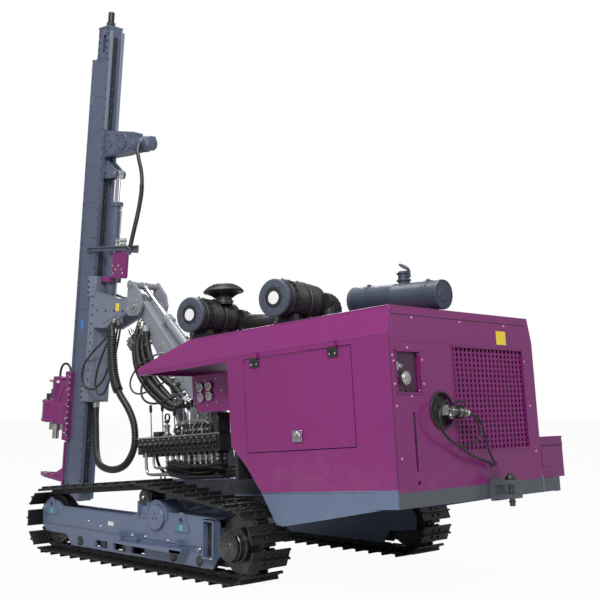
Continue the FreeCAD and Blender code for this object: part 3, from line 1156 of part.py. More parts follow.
section = rect(0, -d.mast_half_width, d.mast_depth, d.mast_half_width)
hollow = rect(d.mast_wall, -d.mast_half_width + d.mast_wall,
              d.mast_depth - d.mast_wall, d.mast_half_width - d.mast_wall)
beam_long = "Sizes.mast_shoulder - Sizes.mast_bottom"
mast_parts = [prism("mast_box", "plan", (0, 0, d.mast_bottom), beam_long, section, holes=[hollow])]
for side in (1, -1):
    for tag, near, far in (
        ("rear", -d.rail_depth, 0.0), ("front", d.mast_depth, d.mast_depth + d.rail_depth),
    ):
        strip = rect(near, side * d.rail_inner, far, side * d.rail_half_width)
        long = beam_long if tag == "front" else "Sizes.mast_top - Sizes.mast_bottom - 60"
        mast_parts.append(prism(f"rail_{tag}{side + 1}", "plan", (0, 0, d.mast_bottom), long, strip))
mast_parts.append(box("mast_head", (0, -d.mast_half_width, d.mast_shoulder), "Sizes.mast_head_depth",
                      "2 * Sizes.mast_half_width", "Sizes.mast_top - Sizes.mast_shoulder"))
mast_parts.append(box("mast_foot", (0, -d.mast_half_width, d.mast_bottom - 20),
                      "Sizes.mast_depth + Sizes.rail_depth", "2 * Sizes.mast_half_width", "20"))
mast_solid = fuse("mast_solid", *mast_parts)
head_window = box("head_window", (60, -120, d.mast_shoulder + 60), "60", "240", "200")
mast_beam = cut("mast_beam", mast_solid, head_window)

screw = rod("tension_screw", (110, 0, d.mast_top), "36", "185", "z")
chain_bottom = d.mast_bottom + 60
chain_spot = (-d.chain_thick, -d.chain_width / 2, chain_bottom)
chain = box("chain_run", chain_spot, "Sizes.chain_thick", "Sizes.chain_width",
            "Sizes.gear_rise - 170 - Sizes.mast_bottom - 60")
upper = box("chain_upper", (chain_spot[0], chain_spot[1], d.gear_rise + 170), "Sizes.chain_thick",
            "Sizes.chain_width", "Sizes.mast_top - Sizes.gear_rise - 170 - 130")
node("feed_chain", group("chain_and_screw", chain, upper, screw), MAST)

ARM_LOW = CRADLE_TOP + d.arm_above
gear_back = -d.rail_depth - d.gear_depth
gear_profile = [
    (-d.rail_depth, d.gear_rise - 135), (-d.rail_depth, d.gear_rise + 155),
    (gear_back, d.gear_rise + 92), (gear_back, d.gear_rise - 105),
    (gear_back + 160, d.gear_rise - 128),
]
case = prism("gear_case_body", "side", (0, d.gear_half_width, 0), "2 * Sizes.gear_half_width", gear_profile)
cap = rod("gear_cap", (-330, d.gear_half_width, d.gear_rise), "74", "16", "y")
motor = rod("feed_motor_body", (gear_back - d.motor_length, 0, d.gear_rise - 45), "Sizes.motor_radius",
            "Sizes.motor_length", "x")
# The feed hose hangs from the motor to the hose arm. Its rises are shares of that height, in mm of 1115.
HOSE_FALL = 1115
HOSE_END_RISE = ARM_LOW + d.tab_height - 17
hose_stretch = (d.gear_rise - 55 - HOSE_END_RISE) / HOSE_FALL
FEED_HOSE = [
    (x, y, HOSE_END_RISE + rise * hose_stretch)
    for x, y, rise in (
        (-722, 105, 1115), (-770, 175, 1045), (-850, 205, 925), (-930, 205, 755),
        (-945, 206, 555), (-900, 205, 335), (-840, 203, 145), (-800, 200, 0),
    )
]
HOSE_END = "Sizes.hose_radius + Sizes.ferrule_margin"
feed_inlet = ferrule("feed_ferrule", FEED_HOSE[0], FEED_HOSE[1], HOSE_END, "Sizes.ferrule_length")
node("feed_gear", fuse("gear_case", case, cap, motor, feed_inlet), MAST)

shift_rod_foot = SHIFT_BOTTOM + 340
shift_stem = rod("shift_stem", (-d.shift_setback, 0, shift_rod_foot), "Sizes.shift_rod_radius",
                 f"{d.shift_eye_rise - shift_rod_foot - 30}", "z")
shift_eye = rod("shift_eye", (-d.shift_setback, -32, d.shift_eye_rise), "48", "64", "y")
node("shift_rod", fuse("shift_rod_body", shift_stem, shift_eye), MAST)
bracket_profile = [
    (-d.rail_depth, d.shift_eye_rise - 40), (-d.rail_depth, d.shift_eye_rise + 150),
    (-d.rail_depth - 60, d.shift_eye_rise + 150), (-d.shift_setback - 40, d.shift_eye_rise + 20),
    (-d.shift_setback - 20, d.shift_eye_rise - 45),
]
bracket = fuse(
    "shift_bracket_body",
    prism("bracket_left", "side", (0, 56, 0), "24", bracket_profile),
    prism("bracket_right", "side", (0, -32, 0), "24", bracket_profile),
    box("bracket_back", (-d.rail_depth - 22, -70, d.shift_eye_rise - 40), "22", "140", "190"),
)
hose_arm = fuse(
    "hose_arm",
    box("hose_arm_root", (0, d.mast_half_width - 3, ARM_LOW), "Sizes.arm_root_length",
        "3 + Sizes.arm_out + Sizes.arm_thick - 1", "Sizes.arm_height"),
    box("hose_arm_bar", (-d.arm_back, d.mast_half_width + d.arm_out, ARM_LOW),
        "Sizes.arm_length", "Sizes.arm_thick", "Sizes.arm_height"),
    box("hose_arm_tab", (-d.arm_back, d.mast_half_width + d.arm_out, ARM_LOW - d.tab_drop),
        "Sizes.tab_length", "Sizes.tab_reach", "Sizes.tab_height"),
    ferrule("hose_arm_ferrule", FEED_HOSE[-1], FEED_HOSE[-2], HOSE_END, "Sizes.ferrule_length"),
)
node("mast", fuse("mast_with_bracket", mast_beam, bracket, hose_arm), MAST)

# Rod guide at the mast's foot.

guide_front = d.mast_depth + d.rail_depth
guide_outline = [
    (guide_front, -110), (guide_front + 60, -110), (d.drill_axis + 60, -80), (d.drill_axis + 200, -34),
    (d.drill_axis + 200, 34), (d.drill_axis + 60, 80), (guide_front + 60, 110), (guide_front, 110),
]
guide = fuse(
    "guide_solid",
    prism("guide_plate_body", "plan", (0, 0, d.guide_rise), "Sizes.guide_plate", guide_outline,
          rounds=[(d.drill_axis, 0, d.rod_bore)]),
    box("guide_back", (guide_front, -110, d.guide_rise - 80), "26", "220",
        "Sizes.sled_bottom - Sizes.guide_rise + 60"),
    prism("guide_rib", "side", (0, 8, 0), "16",
          [(guide_front + 20, d.guide_rise + 10), (d.drill_axis - 90, d.guide_rise + 30),
           (guide_front + 20, d.guide_rise + 180)]),
)
node("rod_guide", guide, MAST)

# Head sled, rotation head and spindle.

sled_face = d.mast_depth + d.rail_depth + d.slide_gap
sled_body = box("sled_body", (sled_face, -118, d.sled_bottom), "Sizes.sled_plate", "236",
                "Sizes.sled_top - Sizes.sled_bottom")
sled_hooks = []
for side in (1, -1):
    profile = [
        (sled_face + 2, side * 118), (d.mast_depth - d.slide_gap - 22, side * 118),
        (d.mast_depth - d.slide_gap - 22, side * (d.mast_half_width + d.slide_gap)),
        (d.mast_depth - d.slide_gap, side * (d.mast_half_width + d.slide_gap)),
        (d.mast_depth - d.slide_gap, side * (d.rail_half_width + d.slide_gap)),
        (sled_face + 2, side * (d.rail_half_width + d.slide_gap)),
    ]
    sled_hooks.append(prism(f"sled_hook{side + 1}", "plan", (0, 0, d.sled_bottom),
                            "Sizes.sled_top - Sizes.sled_bottom", profile))
node("head_sled", fuse("sled_solid", sled_body, *sled_hooks), MAST)
sled_front = sled_face + d.sled_plate
head_case = [
    rod("head_gear", (d.drill_axis + 10, 0, d.head_bottom), "Sizes.head_radius",
        "Sizes.head_top - Sizes.head_bottom", "z"),
    box("head_neck", (sled_front, -120, d.head_bottom), "240", "240", "Sizes.head_top - Sizes.head_bottom"),
    box("head_stay", (sled_front, -90, d.head_top - 10), "150", "180", "240"),
]
spindle_hole = rod("spindle_hole", (d.drill_axis, 0, d.head_bottom - 20),
                   "Sizes.spindle_radius + 0.5", "150", "z")
rotor = rod("head_motor_body", (d.drill_axis - 40, 0, d.head_top), "88", "270", "z")
head_solid = cut("head_case", fuse("head_case_solid", *head_case), spindle_hole)
node("rotation_head", fuse("head_with_motor", head_solid, rotor), MAST)
spindle = fuse(
    "spindle_solid",
    rod("spindle_shaft", (d.drill_axis, 0, d.head_bottom - 190), "Sizes.spindle_radius", "310", "z"),
    rod("spindle_collar", (d.drill_axis, 0, d.head_bottom - 90), "78", "70", "z"),
)
node("drill_spindle", spindle, MAST)


# Hoses and cables: straight runs joined by tangent arcs.

def rounded_path(points):
    """Edges along the points, each corner replaced by a tangent arc, and the arcs' radii."""
    spots = [Vector(*point) for point in points]
    edges, radii = [], []
    start = spots[0]
    for before, corner, after in zip(spots, spots[1:], spots[2:]):
        inward = (before - corner).normalize()
        onward = (after - corner).normalize()
        trim = 0.45 * min((before - corner).Length, (after - corner).Length)
        half_turn = (math.pi - inward.getAngle(onward)) / 2
        radii.append(trim / math.tan(half_turn))
        first, last = corner + inward * trim, corner + onward * trim
        bisector = (inward + onward).normalize()
        depth = radii[-1] / math.cos(half_turn) - radii[-1]
        edges.append(Part.LineSegment(start, first).toShape())
        edges.append(Part.Arc(first, corner + bisector * depth, last).toShape())
        start = last
    edges.append(Part.LineSegment(start, spots[-1]).toShape())
    return edges, radii


def hose(name, points, radius):
    edges, radii = rounded_path(points)
    path = Part.Wire(edges)
    heading = Vector(*points[1]) - Vector(*points[0])
    ring = Part.Wire([Part.makeCircle(radius, Vector(*points[0]), heading)])
    pipe = path.makePipeShell([ring], True, False)
    expected = math.pi * radius ** 2 * path.Length
    print(name, "arc radii", [round(r) for r in radii], "volume share", round(pipe.Volume / expected, 3))
    return solid(name, pipe)


node("rear_cable", hose("rear_cable_run", REAR_CABLE, d.cable_radius), HOUSE)
node("hose_bundle", hose("hose_bundle_run", BUNDLE, d.bundle_radius), BOOM)
node("feed_hose", hose("feed_hose_run", FEED_HOSE, d.hose_radius), MAST)
HEAD_HOSE = [
    (d.drill_axis - 10, 0, d.head_top + 270.3), (d.drill_axis - 10, 0, d.head_top + 350),
    (d.drill_axis - 65, 0, d.head_top + 425), (d.drill_axis - 170, 0, d.head_top + 425),
    (d.drill_axis - 225, 0, d.head_top + 350), (d.drill_axis - 225, 0, d.head_top + 230.3),
]
node("head_hose", hose("head_hose_run", HEAD_HOSE, d.small_hose_radius), MAST)

# Filler cap in the recess, and the coupling that leans out of the round port.
PORT = Vector(d.house_rear - 20, 500, 1160)
COUPLING_END = Vector(*REAR_CABLE[0])
coupling_way = (COUPLING_END - PORT).normalize()
coupling_turn = Rotation(Vector(0, 0, 1), coupling_way)
elbow = rod("coupling_elbow", (PORT.x, PORT.y, PORT.z - d.elbow_radius),
            "Sizes.elbow_radius", "2 * Sizes.elbow_radius", "z")
fittings = group(
    "fitting_set",
    rod("filler_cap", (d.house_rear + d.wall - d.cap_depth - d.seat_gap, 907, 1384),
        "Sizes.cap_radius", "Sizes.cap_depth", "x"),
    fuse("coupling", elbow,
         rod("coupling_stub", (PORT.x, PORT.y, PORT.z), "Sizes.stub_radius",
             "Sizes.wall + 20 - Sizes.seat_gap", "x"),
         rod("coupling_tube", PORT, "Sizes.tube_radius",
             f"{(COUPLING_END - PORT).Length - d.seat_gap}", turn=coupling_turn),
         rod("coupling_nut", PORT + coupling_way * d.nut_from_elbow, "Sizes.nut_radius",
             "Sizes.nut_length", turn=coupling_turn)),
)
node("rear_fittings", fittings, HOUSE)


# Joint centres and fastening places, printed in the machine's frame.

POINTS = (
    ("left_hinge", HOUSE, (d.door_front, d.house_left + d.hinge_out, d.hinge_rise)),
    ("right_hinge", HOUSE, (d.door_front, d.house_right - d.hinge_out, d.hinge_rise)),
    ("box_hinge", HOUSE, (BOX_FRONT, *LID_PIN)),
    ("flap_pin", HOUSE, tuple(FLAP_PIN)),
    ("boom_foot", HOUSE, (d.boom_foot_ahead, 0, d.boom_foot_rise)),
    ("boom_tip", HOUSE, tuple(along_boom(d.boom_length))),
    ("lift_foot", HOUSE, tuple(LIFT_FOOT)),
    ("lift_eye", GROUND, tuple(lift_eye)),
    ("tilt_foot", GROUND, tuple(tilt_foot)),
    ("tilt_eye", GROUND, tuple(tilt_eye)),
    ("swing", MAST, (-d.swing_plane, 0, SWING_RISE)),
    ("mast_foot", MAST, (0, 0, 0)),
    ("spindle_nose", MAST, (d.drill_axis, 0, d.head_bottom - 190)),
    ("rod_guide", MAST, (d.drill_axis, 0, d.guide_rise + d.guide_plate / 2)),
    ("hitch", HOUSE, (hitch_start + 50, d.hitch_left, HITCH_MIDDLE)),
    ("tie_front_left", GROUND, (d.frame_front - d.tie_setback, d.track_offset + 88, d.tie_rise)),
    ("tie_rear_left", GROUND, (d.axle_ahead - 200, d.track_offset + 88, d.tie_rise)),
    ("tie_front_right", GROUND, (d.frame_front - d.tie_setback, -d.track_offset - 88, d.tie_rise)),
    ("tie_rear_right", GROUND, (d.axle_ahead - 200, -d.track_offset - 88, d.tie_rise)),
    ("outlet", HOUSE, tuple(outlet_top)),
)


def build():
    """Shifts the machine onto the middle of its own box and writes every piece."""
    doc.recompute()
    whole = Part.makeCompound([piece.Shape for piece in nodes]).BoundBox
    middle = (whole.XMin + whole.XMax) / 2
    print("box", whole)
    shift = Placement(Vector(-middle, 0, 0), Rotation())
    for piece in nodes:
        piece.Placement = shift.multiply(piece.Placement)
    for name, frame, spot in POINTS:
        place = shift.multiply(frame).multVec(Vector(*spot))
        print("point", name, [round(value, 2) for value in place])
    doc.recompute()
    for thing in doc.Objects:
        if "Invalid" in thing.State or "Error" in thing.State:
            raise RuntimeError(f"{thing.Label} failed: {thing.State}")
    os.makedirs("parts", exist_ok=True)
    for piece in nodes:
        if piece.Shape.isNull() or not piece.Shape.isValid():
            raise RuntimeError(f"{piece.Label} has no valid shape")
        piece.Shape.exportStep(f"parts/{piece.Label}.step")


build()
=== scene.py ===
import math
import random
import bmesh
import bpy
from mathutils import Matrix, Vector


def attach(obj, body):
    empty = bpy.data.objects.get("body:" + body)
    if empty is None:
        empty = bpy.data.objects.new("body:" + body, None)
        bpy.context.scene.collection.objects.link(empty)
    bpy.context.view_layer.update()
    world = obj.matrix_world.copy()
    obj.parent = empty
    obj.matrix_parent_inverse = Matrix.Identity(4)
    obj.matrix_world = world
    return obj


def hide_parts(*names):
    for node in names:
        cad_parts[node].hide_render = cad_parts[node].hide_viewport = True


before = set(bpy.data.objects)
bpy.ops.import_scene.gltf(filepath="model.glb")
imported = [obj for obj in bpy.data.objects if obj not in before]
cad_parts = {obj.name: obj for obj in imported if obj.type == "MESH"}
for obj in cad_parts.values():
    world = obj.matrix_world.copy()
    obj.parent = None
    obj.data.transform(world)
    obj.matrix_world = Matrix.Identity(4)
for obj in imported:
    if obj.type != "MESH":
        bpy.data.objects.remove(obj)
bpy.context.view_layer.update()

# The machine's own frames: the house leans nose-down about a point on its floor, the mast leans back.
# MIDDLE is how far the tracks' middle lies ahead of the whole rig's middle, in metres.
MIDDLE = 0.15592
PIVOT_X, PIVOT_Z = -0.4, 0.47
HOUSE_LEAN, MAST_LEAN, BOOM_LEAN = 4.2, -4.8, -51.5


def turned_about_y(degrees):
    """A turn that tips the nose down."""
    return Matrix.Rotation(math.radians(degrees), 4, "Y")


GROUND = Matrix.Translation((-MIDDLE, 0, 0))
HOUSE = (Matrix.Translation((PIVOT_X - MIDDLE, 0, PIVOT_Z)) @ turned_about_y(HOUSE_LEAN)
         @ Matrix.Translation((-PIVOT_X, 0, -PIVOT_Z)))
MAST = Matrix.Translation((2.30506, 0, 0.00025)) @ turned_about_y(MAST_LEAN)
BOOM = HOUSE @ Matrix.Translation((0.33, 0, 1.365)) @ turned_about_y(BOOM_LEAN)


def between(start, end):
    """A frame at one pin whose X runs to the other pin."""
    line = Vector(end) - Vector(start)
    return Matrix.Translation(start) @ Matrix.Rotation(-math.atan2(line.z, line.x), 4, "Y")


LIFT = between((0.43431, 0, 0.7783), (0.88167, 0, 1.74899))
TILT = between((0.31215, 0, 1.70984), (1.26992, 0, 2.58771))


# Camera

SENSOR_WIDTH = 36.0
FOCAL_PIXELS, PHOTO_PIXELS = 1014.0, 600.0
CAMERA_PLACE = (-7.05 - MIDDLE, 6.435, 1.41)
CAMERA_HEADING, CAMERA_RISE = math.radians(46.0), math.radians(5.6)


def add_object(name, data):
    """Puts a new object for this data into the scene."""
    made = bpy.data.objects.new(name, data)
    bpy.context.scene.collection.objects.link(made)
    return made


def aimed(place, ahead):
    """Where a camera or lamp stands when it looks along ahead."""
    return Matrix.Translation(place) @ ahead.to_track_quat("-Z", "Y").to_matrix().to_4x4()


def make_camera():
    """The photo's camera: its lens, place and heading."""
    data = bpy.data.cameras.new("photo_camera")
    data.sensor_width = SENSOR_WIDTH
    data.lens = FOCAL_PIXELS / PHOTO_PIXELS * SENSOR_WIDTH
    data.clip_end = 200.0
    camera = add_object("photo_camera", data)
    level = math.cos(CAMERA_RISE)
    ahead = Vector((math.cos(CAMERA_HEADING) * level, -math.sin(CAMERA_HEADING) * level,
                    math.sin(CAMERA_RISE)))
    camera.matrix_world = aimed(CAMERA_PLACE, ahead)
    bpy.context.scene.camera = camera


make_camera()
bpy.context.scene.view_settings.view_transform = "Standard"

# Free hoses and cables

# Each row: name, the node it replaces, body, frame, radius in mm, length in m, far end, stiffness and the
# route in mm.
CORDS = [
    ("rear_cable_curve", "rear_cable", "carrier", HOUSE, 8.0, 0.6296, "object", "medium", [
        (-2862, 296, 1133), (-2879, 240, 1125.6), (-2897, 192, 1077), (-2908, 165, 960), (-2895, 110, 850),
        (-2862, 20, 785), (-2835, -70, 762), (-2798, -110, 758)]),
    ("hose_bundle_curve", "hose_bundle", "boom", BOOM, 30.0, 0.9575, "object", "stiff", [
        (215, 132, -75), (390, 133, -95), (600, 138, -175), (820, 140, -205), (1000, 136, -150),
        (1130, 132, -70)]),
    ("feed_hose_curve", "feed_hose", "mast", MAST, 20.0, 1.2125, "object", "medium", [
        (-722, 105, 4160), (-770, 175, 4090), (-850, 205, 3970), (-930, 205, 3800), (-945, 206, 3600),
        (-900, 205, 3380), (-840, 203, 3190), (-800, 200, 3045)]),
    ("head_hose_curve", "head_hose", "head_sled", MAST, 13.0, 0.4695, "object", "medium", [
        (640, 0, 1620.3), (640, 0, 1700), (585, 0, 1775), (480, 0, 1775), (425, 0, 1700), (425, 0, 1580.3)]),
    ("long_hose_curve", None, "cradle", MAST, 30.0, 3.250, "object", "stiff", [
        (-505, 128, 2262), (-520, 150, 2225), (-610, 235, 2215), (-715, 290, 2170), (-742, 300, 2034),
        (-760, 300, 1881), (-815, 300, 1690), (-920, 302, 1550), (-1080, 304, 1435), (-1205, 305, 1290),
        (-1245, 305, 1130), (-1225, 305, 1000), (-1130, 304, 868), (-1000, 302, 800), (-850, 295, 772),
        (-690, 262, 772), (-520, 205, 785), (-370, 130, 830), (-240, 60, 920), (-165, 20, 1060),
        (-118, 4, 1220), (-98, 0, 1340), (-96, 0, 1380)]),
    ("cradle_loop_curve", None, "cradle", MAST, 11.0, 1.793, "object", "medium", [
        (-400, 110, 2215), (-402, 114, 2150), (-370, 150, 2060), (-240, 180, 1950), (-90, 188, 1800),
        (-62, 190, 1650), (-150, 188, 1545), (-310, 182, 1540), (-440, 172, 1640), (-510, 158, 1800),
        (-545, 138, 2000), (-560, 114, 2200), (-562, 110, 2285)]),
    ("cradle_small_loop_curve", None, "cradle", MAST, 11.0, 1.670, "object", "medium", [
        (-440, 110, 2235), (-445, 118, 2150), (-430, 160, 2000), (-360, 190, 1800), (-330, 196, 1620),
        (-380, 190, 1500), (-480, 180, 1500), (-550, 170, 1640), (-590, 150, 1880), (-610, 120, 2150),
        (-612, 110, 2310)]),
    ("boom_loop_curve", None, "boom", BOOM, 11.0, 1.005, "object", "medium", [
        (700, 92, -70), (698, 150, -90), (680, 250, -200), (620, 300, -330), (520, 310, -390),
        (400, 300, -350), (310, 270, -240), (276, 200, -110), (272, 150, -60), (270, 92, -50)]),
    ("boom_small_loop_curve", None, "boom", BOOM, 9.0, 1.048, "object", "medium", [
        (820, 92, -60), (822, 160, -80), (830, 270, -230), (780, 320, -390), (690, 330, -450),
        (580, 310, -420), (520, 250, -280), (505, 160, -120), (500, 92, -80)]),
    ("boom_hose_1_curve", None, "boom", BOOM, 26.0, 1.146, "object", "stiff", [
        (150, 116, -62), (140, 150, -84), (180, 166, -150), (420, 172, -215),
        (650, 176, -250), (860, 172, -255),
        (1050, 158, -195), (1130, 134, -110), (1140, 116, -80)]),
    ("boom_hose_2_curve", None, "boom", BOOM, 26.0, 1.245, "object", "stiff", [
        (210, 116, -70), (170, 172, -92), (180, 214, -160), (425, 226, -235),
        (655, 232, -280), (875, 222, -290),
        (1080, 190, -220), (1160, 150, -120), (1190, 116, -84)]),
    ("boom_hose_3_curve", None, "boom", BOOM, 26.0, 1.267, "object", "stiff", [
        (186, 116, -78), (176, 150, -110), (206, 166, -200), (420, 176, -285),
        (650, 184, -326), (880, 178, -330),
        (1100, 152, -240), (1196, 132, -120), (1240, 116, -86)]),
    ("boom_hose_4_curve", None, "boom", BOOM, 22.0, 1.416, "object", "stiff", [
        (270, 114, -78), (190, 190, -110), (170, 222, -205), (430, 232, -300),
        (640, 238, -345), (880, 222, -350),
        (1110, 196, -250), (1230, 150, -130), (1290, 114, -88)]),
    ("coupling_loop_curve", None, "carrier", HOUSE, 10.0, 1.086, "object", "medium", [
        (-2815, 482, 1188), (-2838, 500, 1222), (-2858, 560, 1222), (-2868, 640, 1160), (-2870, 655, 1080),
        (-2862, 610, 1000), (-2856, 520, 940), (-2852, 396, 895), (-2848, 280, 834), (-2846, 146, 796),
        (-2840, 10, 764), (-2822, -40, 748), (-2800, -20, 738)]),
    ("coupling_small_loop_curve", None, "carrier", HOUSE, 8.0, 0.459, "object", "medium", [
        (-2866, 318, 1150), (-2884, 292, 1136), (-2892, 240, 1084), (-2888, 196, 1010), (-2876, 196, 948),
        (-2864, 250, 916), (-2856, 330, 906), (-2854, 396, 898)]),
    ("front_filter_hose_curve", None, "carrier", HOUSE, 14.0, 0.854, "object", "medium", [
        (430, 560, 960), (430, 548, 880), (400, 500, 790), (300, 420, 752), (150, 330, 748), (0, 240, 746),
        (-60, 150, 745), (-62, 60, 745)]),
]


def lay_cord(name, node, body, place, radius, length, far_end, stiffness, route):
    """A hose as one open curve through its route."""
    data = bpy.data.curves.new(name, "CURVE")
    data.dimensions, data.bevel_depth, data.bevel_resolution = "3D", radius * 0.001, 5
    data.resolution_u, data.use_fill_caps = 14, True
    line = data.splines.new("NURBS")
    line.points.add(len(route) - 1)
    for point, spot in zip(line.points, route):
        point.co = (*(place @ (Vector(spot) * 0.001)), 1.0)
    line.order_u = 3
    line.use_endpoint_u = True
    made = add_object(name, data)
    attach(made, body)
    if node:
        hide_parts(node)
    tuple(place @ (Vector(route[0]) * 0.001))
    radius * 0.002
    return made


cords = [lay_cord(*row) for row in CORDS]

# Shader maths and finishes

class Value:
    """A number that varies over a surface; sums and products of it add Math nodes."""

    def __init__(self, finish, socket):
        self.finish, self.socket = finish, socket

    def math(self, operation, one, two):
        made = self.finish.node("ShaderNodeMath", {"operation": operation}, {0: one, 1: two})
        return Value(self.finish, made.outputs[0])

    def __add__(self, other):
        return self.math("ADD", self, other)

    def __radd__(self, other):
        return self.math("ADD", other, self)

    def __sub__(self, other):
        return self.math("SUBTRACT", self, other)

    def __rsub__(self, other):
        return self.math("SUBTRACT", other, self)

    def __mul__(self, other):
        return self.math("MULTIPLY", self, other)

    def spread(self, low, high):
        """0 below low, 1 above high, smooth between."""
        made = self.finish.node("ShaderNodeMapRange", {"interpolation_type": "SMOOTHSTEP", "clamp": True},
                                {"Value": self, "From Min": low, "From Max": high})
        return Value(self.finish, made.outputs[0])


class Finish:
    """A material and the nodes behind it."""

    def __init__(self, name):
        self.material = bpy.data.materials.new(name)
        self.material.use_nodes = True
        self.tree = self.material.node_tree
        self.tree.nodes.clear()
        self.surface = self.node("ShaderNodeBsdfPrincipled")
        self.node("ShaderNodeOutputMaterial", {}, {"Surface": self.surface.outputs[0]})
        self.place = self.node("ShaderNodeTexCoord").outputs["Object"]

    def node(self, kind, settings=None, inputs=None):
        """The one way to add a node: its type, its settings, then its sockets' values or links."""
        made = self.tree.nodes.new(kind)
        for key, value in (settings or {}).items():
            if key == "stops":
                for index, (spot, colour) in enumerate(value):
                    stops = made.color_ramp.elements
                    stop = stops[index] if index < len(stops) else stops.new(spot)
                    stop.position, stop.color = spot, (*colour, 1.0)
            else:
                setattr(made, key, value)
        for key, value in (inputs or {}).items():
            self.feed(made.inputs[key], value)
        return made

    def feed(self, socket, value):
        """Links or sets one socket; three numbers become an opaque colour."""
        if isinstance(value, Value):
            value = value.socket
        if isinstance(value, bpy.types.NodeSocket):
            self.tree.links.new(value, socket)
        elif isinstance(value, tuple) and len(value) == 3 and len(socket.default_value) == 4:
            socket.default_value = (*value, 1.0)
        else:
            socket.default_value = value

    def noise(self, scale, detail=3.0, stretch=None, rough=0.5):
        """Noise from 0 to 1 in the piece's own place."""
        place = self.place
        if stretch:
            place = self.node("ShaderNodeMapping", {}, {"Vector": place, "Scale": stretch}).outputs[0]
        made = self.node("ShaderNodeTexNoise", {}, {
            "Vector": place, "Scale": scale, "Detail": detail, "Roughness": rough})
        return Value(self, made.outputs["Fac"])

    def along(self, axis):
        """The surface point's place along x, y or z."""
        split = self.node("ShaderNodeSeparateXYZ", {}, {0: self.place})
        return Value(self, split.outputs["XYZ".index(axis)])

    def facing_up(self):
        """1 where the surface faces straight up."""
        normal = self.node("ShaderNodeNewGeometry").outputs["Normal"]
        split = self.node("ShaderNodeSeparateXYZ", {}, {0: normal})
        return Value(self, split.outputs[2])

    def edges(self, width):
        """1 on corners and 0 on flats, from the rounded normal."""
        round_normal = self.node("ShaderNodeBevel", {"samples": 4}, {"Radius": width}).outputs[0]
        flat = self.node("ShaderNodeNewGeometry").outputs["Normal"]
        dot = self.node("ShaderNodeVectorMath", {"operation": "DOT_PRODUCT"}, {0: round_normal, 1: flat})
        return (1 - Value(self, dot.outputs["Value"])).spread(0.01, 0.2), round_normal

    def mix(self, share, one, other):
        """One colour where share is 0 and the other where it is 1."""
        made = self.node("ShaderNodeMix", {"data_type": "RGBA"}, {0: share, 6: one, 7: other})
        return made.outputs[2]

    def finish(self, **sockets):
        """Feeds the surface by short socket names and hands back the material."""
        names = {"colour": "Base Color", "rough": "Roughness", "metal": "Metallic", "coat": "Coat Weight",
                 "coat_rough": "Coat Roughness", "normal": "Normal"}
        for key, value in sockets.items():
            self.feed(self.surface.inputs[names[key]], value)
        return self.material

    def bump(self, height, strength, distance, normal=None):
        """A normal bent by a height, in metres."""
        inputs = {"Height": height, "Strength": strength, "Distance": distance}
        if normal is not None:
            inputs["Normal"] = normal
        return self.node("ShaderNodeBump", {}, inputs).outputs[0]


def tint(colour, factor):
    """A colour made lighter or darker."""
    return tuple(min(1.0, part * factor) for part in colour)


DUST = (0.30, 0.26, 0.22)


def painted(name, colour, rough=0.32, coat=0.35, dust=0.35, worn=0.5, edge=0.004):
    """Sprayed steel: cloudy colour, orange peel, dust on ledges and rubbed corners."""
    f = Finish(name)
    clouds = f.noise(1.3, 4.0)
    fine = f.noise(42.0, 5.0, rough=0.65)
    corners, rounded = f.edges(edge)
    ledges = f.facing_up().spread(0.35, 0.95)
    low = 1 - f.along("Z").spread(0.1, 1.5)
    specks = f.noise(9.0, 6.0, rough=0.7)
    dusty = (ledges * 0.35 + low * 0.45) * specks.spread(0.42, 0.72) * dust
    rubbed = corners * fine.spread(0.48, 0.66) * worn
    base = f.mix(clouds, tint(colour, 0.90), tint(colour, 1.10))
    base = f.mix(rubbed, base, tint(colour, 1.9))
    base = f.mix(dusty, base, DUST)
    scuffs = f.noise(5.0, 5.0, (1.0, 1.0, 5.0), 0.7).spread(0.55, 0.75)
    peel_height = f.noise(330.0, 2.0) * 0.6 + f.noise(26.0, 2.0) * 0.4
    return f.finish(
        colour=base, rough=rough + scuffs * 0.10 + dusty * 0.4 + (fine - 0.5) * 0.10, coat=coat,
        coat_rough=0.12, normal=f.bump(peel_height, 0.05, 0.002, rounded))


def bare_metal(name, colour, rough, dark=0.7):
    """Machined or cast steel with fine turning marks, darker patches and a painted highlight on its corners.
    """
    f = Finish(name)
    patches = f.noise(6.0, 5.0, rough=0.6)
    grain = f.noise(60.0, 3.0, (1.0, 1.0, 6.0))
    corners, rounded = f.edges(0.002)
    base = f.mix(patches.spread(0.3, 0.75), tint(colour, dark), colour)
    # Painted highlight: corners made lighter, as glints.
    base = f.mix(corners * 0.5, base, tint(colour, 1.3))
    return f.finish(colour=base, metal=1.0, rough=rough + (patches - 0.5) * 0.22 + (grain - 0.5) * 0.1,
                    normal=f.bump(grain, 0.08, 0.001, rounded))


def track_metal(name):
    """Black-painted track steel, rubbed bright on the bars' tips and dusty in the hollows."""
    f = Finish(name)
    patches = f.noise(8.0, 6.0, rough=0.65)
    corners, rounded = f.edges(0.004)
    grit = f.noise(120.0, 4.0)
    bright = corners * f.noise(30.0, 4.0).spread(0.42, 0.6)
    base = f.mix(patches, (0.004, 0.004, 0.005), (0.014, 0.014, 0.015))
    base = f.mix(bright * 0.4, base, (0.12, 0.118, 0.115))
    base = f.mix(f.noise(3.0, 5.0).spread(0.5, 0.75) * 0.08, base, (0.10, 0.09, 0.075))
    return f.finish(colour=base, metal=bright * 0.6, rough=0.48 + (patches - 0.5) * 0.3,
                    normal=f.bump(grit * 0.5 + patches * 0.5, 0.22, 0.002, rounded))


